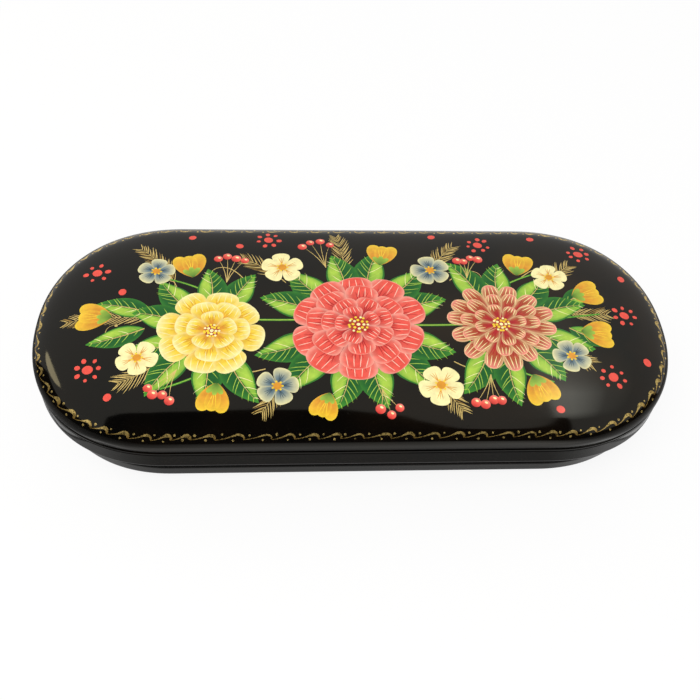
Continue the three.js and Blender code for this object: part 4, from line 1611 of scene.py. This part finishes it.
class GLASSESCASE_OT_stage(bpy.types.Operator):
    """Set the floor, the light and the camera"""

    bl_idname = "glasses_case.stage"
    bl_label = "Stage"

    def execute(self, context):
        """Builds the stage round the finished case."""
        settings = context.scene.case_stage
        self.floor(settings)
        self.world(settings)
        self.lamps(settings)
        self.flag()
        self.glow(settings.ceiling)
        self.floor_shade(context.scene.case_sizes)
        self.camera(settings)
        context.scene.view_settings.view_transform = "Standard"
        return {"FINISHED"}

    def floor(self, settings):
        """A plain white table, nearly as white in the picture as its paper, with a pale shadow."""
        floor = self.flat_card("table", TABLE_SIDES, 0)
        material, tree = new_material("white_table")
        tone = remap(tree, noise_value(tree, 3, 4), 0.3, 0.7, *TABLE_TONES)
        colour = mixed(tree, 1.0, grey(tree, tone), settings.floor, "MULTIPLY")
        inputs = {"Base Color": colour, "Roughness": 0.9, "Specular IOR Level": 0.0}
        lit = place(tree, "ShaderNodeBsdfPrincipled", inputs)
        white = place(tree, "ShaderNodeEmission", {"Color": (1, 1, 1, 1), "Strength": 1.0})
        ray = place(tree, "ShaderNodeLightPath").outputs
        seen = summed(tree, ray["Is Camera Ray"], ray["Is Glossy Ray"])
        seen = summed(tree, seen, ray["Is Transmission Ray"])
        share = remap(tree, seen, 0, 1, 0, settings.floor_white)
        surface = place(tree, "ShaderNodeMixShader", {0: share, 1: lit.outputs[0], 2: white.outputs[0]})
        place(tree, "ShaderNodeOutputMaterial", {"Surface": surface.outputs[0]})
        floor.data.materials.append(material)

    def world(self, settings):
        """White walls all round under a dimmer ceiling."""
        world = bpy.data.worlds.new("white_room")
        world.use_nodes = True
        tree = world.node_tree
        tree.nodes.clear()
        way = place(tree, "ShaderNodeTexCoord").outputs["Generated"]
        up = place(tree, "ShaderNodeSeparateXYZ", {"Vector": way}).outputs["Z"]
        strength = remap(tree, up, WALL_TOP, CEILING_EDGE, 1, settings.ceiling)
        wall = place(tree, "ShaderNodeBackground", {"Color": (1, 1, 1, 1), "Strength": strength})
        place(tree, "ShaderNodeOutputWorld", {"Surface": wall.outputs["Background"]})
        bpy.context.scene.world = world

    def lamps(self, settings):
        """A broad soft key from above, and a warm strip at the left that shows in the lacquer."""
        key = self.lamp("soft_key", settings.key_power, KEY_SIZE, KEY_PLACE, KEY_COLOUR, KEY_LIE)
        key.visible_glossy = False
        self.lamp("side_strip", settings.strip_power, STRIP_SIZE, STRIP_PLACE, STRIP_COLOUR, STRIP_LIE)

    def lamp(self, name, power, size, where, colour, lie):
        """One oval lamp that faces the case, with its long side in a given direction."""
        light = bpy.data.lights.new(name, "AREA")
        light.shape = "ELLIPSE"
        light.size, light.size_y = size
        light.energy = power
        light.color = colour
        lamp = bpy.data.objects.new(name, light)
        back = (Vector(where) - Vector(LAMP_AIM)).normalized()
        side = Vector(lie) - back * back.dot(Vector(lie))
        side.normalize()
        lamp.matrix_world = Matrix((side, back.cross(side), back)).transposed().to_4x4()
        lamp.location = where
        lamp.visible_camera = False
        bpy.context.scene.collection.objects.link(lamp)
        return lamp

    def flag(self):
        """A black card in front, overhead and low at both sides that only the lacquer's reflections see."""
        points = [(x, y, CARD_ROOF) for x, y in CARD_EDGE]
        faces = [tuple(range(len(points)))]
        walls = [((CARD_EDGE[0], CARD_EDGE[-1]), CARD_ROOF), *CARD_WINGS]
        for line, height in walls:
            for start, stop in zip(line, line[1:]):
                first = len(points)
                points += [(*start, SHADE_HEIGHT), (*stop, SHADE_HEIGHT), (*stop, height), (*start, height)]
                faces.append(tuple(range(first, first + 4)))
        card = new_piece("black_card", points, faces)
        material, tree = new_material("black_card_felt")
        fuzz = noise_value(tree, 400, 3)
        tone = mixed(tree, fuzz, *FELT_TONES)
        finish_material(tree, {"Base Color": tone, "Roughness": 1.0, "Specular IOR Level": 0.0})
        card.data.materials.append(material)
        self.hide_from_light(card)

    def glow(self, ceiling):
        """A white card at the right that lights a soft patch in the lacquer."""
        card = self.flat_card("white_card", GLOW_SIDES, GLOW_ROOF)
        material, tree = new_material("white_card_paper")
        where = place(tree, "ShaderNodeTexCoord").outputs["Generated"]
        sides = place(tree, "ShaderNodeSeparateXYZ", {"Vector": where}).outputs
        across = ramped(tree, sides["X"], GLOW_ACROSS)
        fade = times(tree, across, ramped(tree, sides["Y"], GLOW_BACKWARD))
        self.glowing(card, material, tree, remap(tree, fade, 0, 1, ceiling, GLOW_STRENGTH), GLOW_COLOUR)

    def floor_shade(self, sizes):
        """The table's painted shade and light round the case and its painted fall into the dark in front,
        glowing for reflections alone.
        """
        edge = outline(sizes, 0)
        count = len(edge)
        draw = np.interp(edge[:, 0], SHADE_ACROSS, SHADE_DRAW)[:, None]
        rings = []
        tones = []
        for reach, left, front, right in SHADE_RINGS:
            share = draw if reach > 0 else 1
            rings.append(edge + share * (outline(sizes, -reach * MM) - edge))
            levels = (SHADE_END * left, left, front, front, right, SHADE_END * right)
            tones.append(np.interp(edge[:, 0], SHADE_ACROSS, levels))
        points = np.column_stack([np.concatenate(rings), np.full(count * len(rings), SHADE_HEIGHT)])
        shade = new_piece("table_shade", points, bands(0, count, len(rings)))
        layer = shade.data.attributes.new("Tone", "FLOAT", "POINT")
        layer.data.foreach_set("value", np.concatenate(tones))
        material, tree = new_material("table_shade")
        tone = place(tree, "ShaderNodeAttribute", attribute_name="Tone").outputs["Fac"]
        self.glowing(shade, material, tree, tone)
        left, right = RAMP_SIDES[:2]
        ramp = self.flat_card("table_ramp", RAMP_SIDES, RAMP_HEIGHT)
        material, tree = new_material("table_ramp")
        where = place(tree, "ShaderNodeTexCoord").outputs["Object"]
        sides = place(tree, "ShaderNodeSeparateXYZ", {"Vector": where}).outputs
        levels = [RAMP_TOP * tone for tone in RAMP_TONES]
        fall = remap(tree, sides["Y"], RAMP_NEAR, RAMP_FAR, *levels)
        stops = [((x - left) / (right - left), level / RAMP_TOP) for x, level in RAMP_ACROSS]
        across = ramped(tree, remap(tree, sides["X"], left, right, 0, 1), stops)
        self.glowing(ramp, material, tree, times(tree, fall, across))

    def flat_card(self, name, sides, height):
        """A level rectangle between its left, right, front and back sides."""
        left, right, front, back = sides
        corners = [(left, front), (right, front), (right, back), (left, back)]
        return new_piece(name, [(x, y, height) for x, y in corners], [(0, 1, 2, 3)])

    def glowing(self, card, material, tree, tone, colour=(1, 1, 1)):
        """Gives a stage card a glow of a tone, for reflections alone."""
        shine = place(tree, "ShaderNodeEmission", {"Color": (*colour, 1), "Strength": tone})
        place(tree, "ShaderNodeOutputMaterial", {"Surface": shine.outputs[0]})
        card.data.materials.append(material)
        self.hide_from_light(card)

    def hide_from_light(self, card):
        """Leaves a card to be seen in reflections alone."""
        card.visible_camera = False
        card.visible_diffuse = False
        card.visible_transmission = False
        card.visible_shadow = False

    def camera(self, settings):
        """The camera at the photograph's viewing angle."""
        a, e, r = settings.azimuth, settings.elevation, settings.roll
        back = Vector((math.sin(a) * math.cos(e), -math.cos(a) * math.cos(e), math.sin(e)))
        level = Vector((math.cos(a), math.sin(a), 0))
        upright = back.cross(level)
        right = level * math.cos(r) + upright * math.sin(r)
        up = upright * math.cos(r) - level * math.sin(r)
        data = bpy.data.cameras.new("photo_camera")
        data.sensor_width = SENSOR_WIDTH
        data.lens = settings.lens
        data.shift_x = 0.5 - settings.axis_x / PHOTO_WIDTH
        data.shift_y = settings.axis_y / PHOTO_WIDTH - 0.5
        data.clip_start = CLIP_START
        camera = bpy.data.objects.new("photo_camera", data)
        spot = Vector(settings.target) + back * settings.distance
        camera.matrix_world = Matrix((right, up, back)).transposed().to_4x4()
        camera.location = spot
        bpy.context.scene.collection.objects.link(camera)
        bpy.context.scene.camera = camera


class GLASSESCASE_PT_panel(bpy.types.Panel):
    """Lists the steps that build the case"""

    bl_idname = "GLASSESCASE_PT_panel"
    bl_label = "Eyeglass Case"
    bl_space_type = "VIEW_3D"
    bl_region_type = "UI"
    bl_category = "Eyeglass Case"

    def draw(self, context):
        """Shows one button for each step."""
        for operator in OPERATORS:
            self.layout.operator(operator.bl_idname)


GROUPS = {
    "case_sizes": CaseSizes,
    "case_colours": PaintColours,
    "case_finish": FinishSettings,
    "case_border": BorderSizes,
    "case_stage": StageSettings,
}
OPERATORS = (
    GLASSESCASE_OT_lid_shell,
    GLASSESCASE_OT_base_shells,
    GLASSESCASE_OT_linings,
    GLASSESCASE_OT_hinges,
    GLASSESCASE_OT_wave_border,
    GLASSESCASE_OT_greenery,
    GLASSESCASE_OT_flowers,
    GLASSESCASE_OT_dots,
    GLASSESCASE_OT_stage,
)


def register():
    """Registers the settings, operators and panel."""
    for name, group in GROUPS.items():
        bpy.utils.register_class(group)
        setattr(bpy.types.Scene, name, PointerProperty(type=group))
    for operator in OPERATORS:
        bpy.utils.register_class(operator)
    bpy.utils.register_class(GLASSESCASE_PT_panel)


def unregister():
    """Takes everything that register added out again."""
    bpy.utils.unregister_class(GLASSESCASE_PT_panel)
    for operator in reversed(OPERATORS):
        bpy.utils.unregister_class(operator)
    for name, group in reversed(GROUPS.items()):
        delattr(bpy.types.Scene, name)
        bpy.utils.unregister_class(group)


def main():
    """Builds the case step by step."""
    register()
    bpy.ops.glasses_case.lid_shell()
    bpy.ops.glasses_case.base_shells()
    bpy.ops.glasses_case.linings()
    bpy.ops.glasses_case.hinges()
    bpy.ops.glasses_case.wave_border()
    bpy.ops.glasses_case.greenery()
    bpy.ops.glasses_case.flowers()
    bpy.ops.glasses_case.dots()
    bpy.ops.glasses_case.stage()
    bpy.context.view_layer.update()


if __name__ == "__main__":
    main()
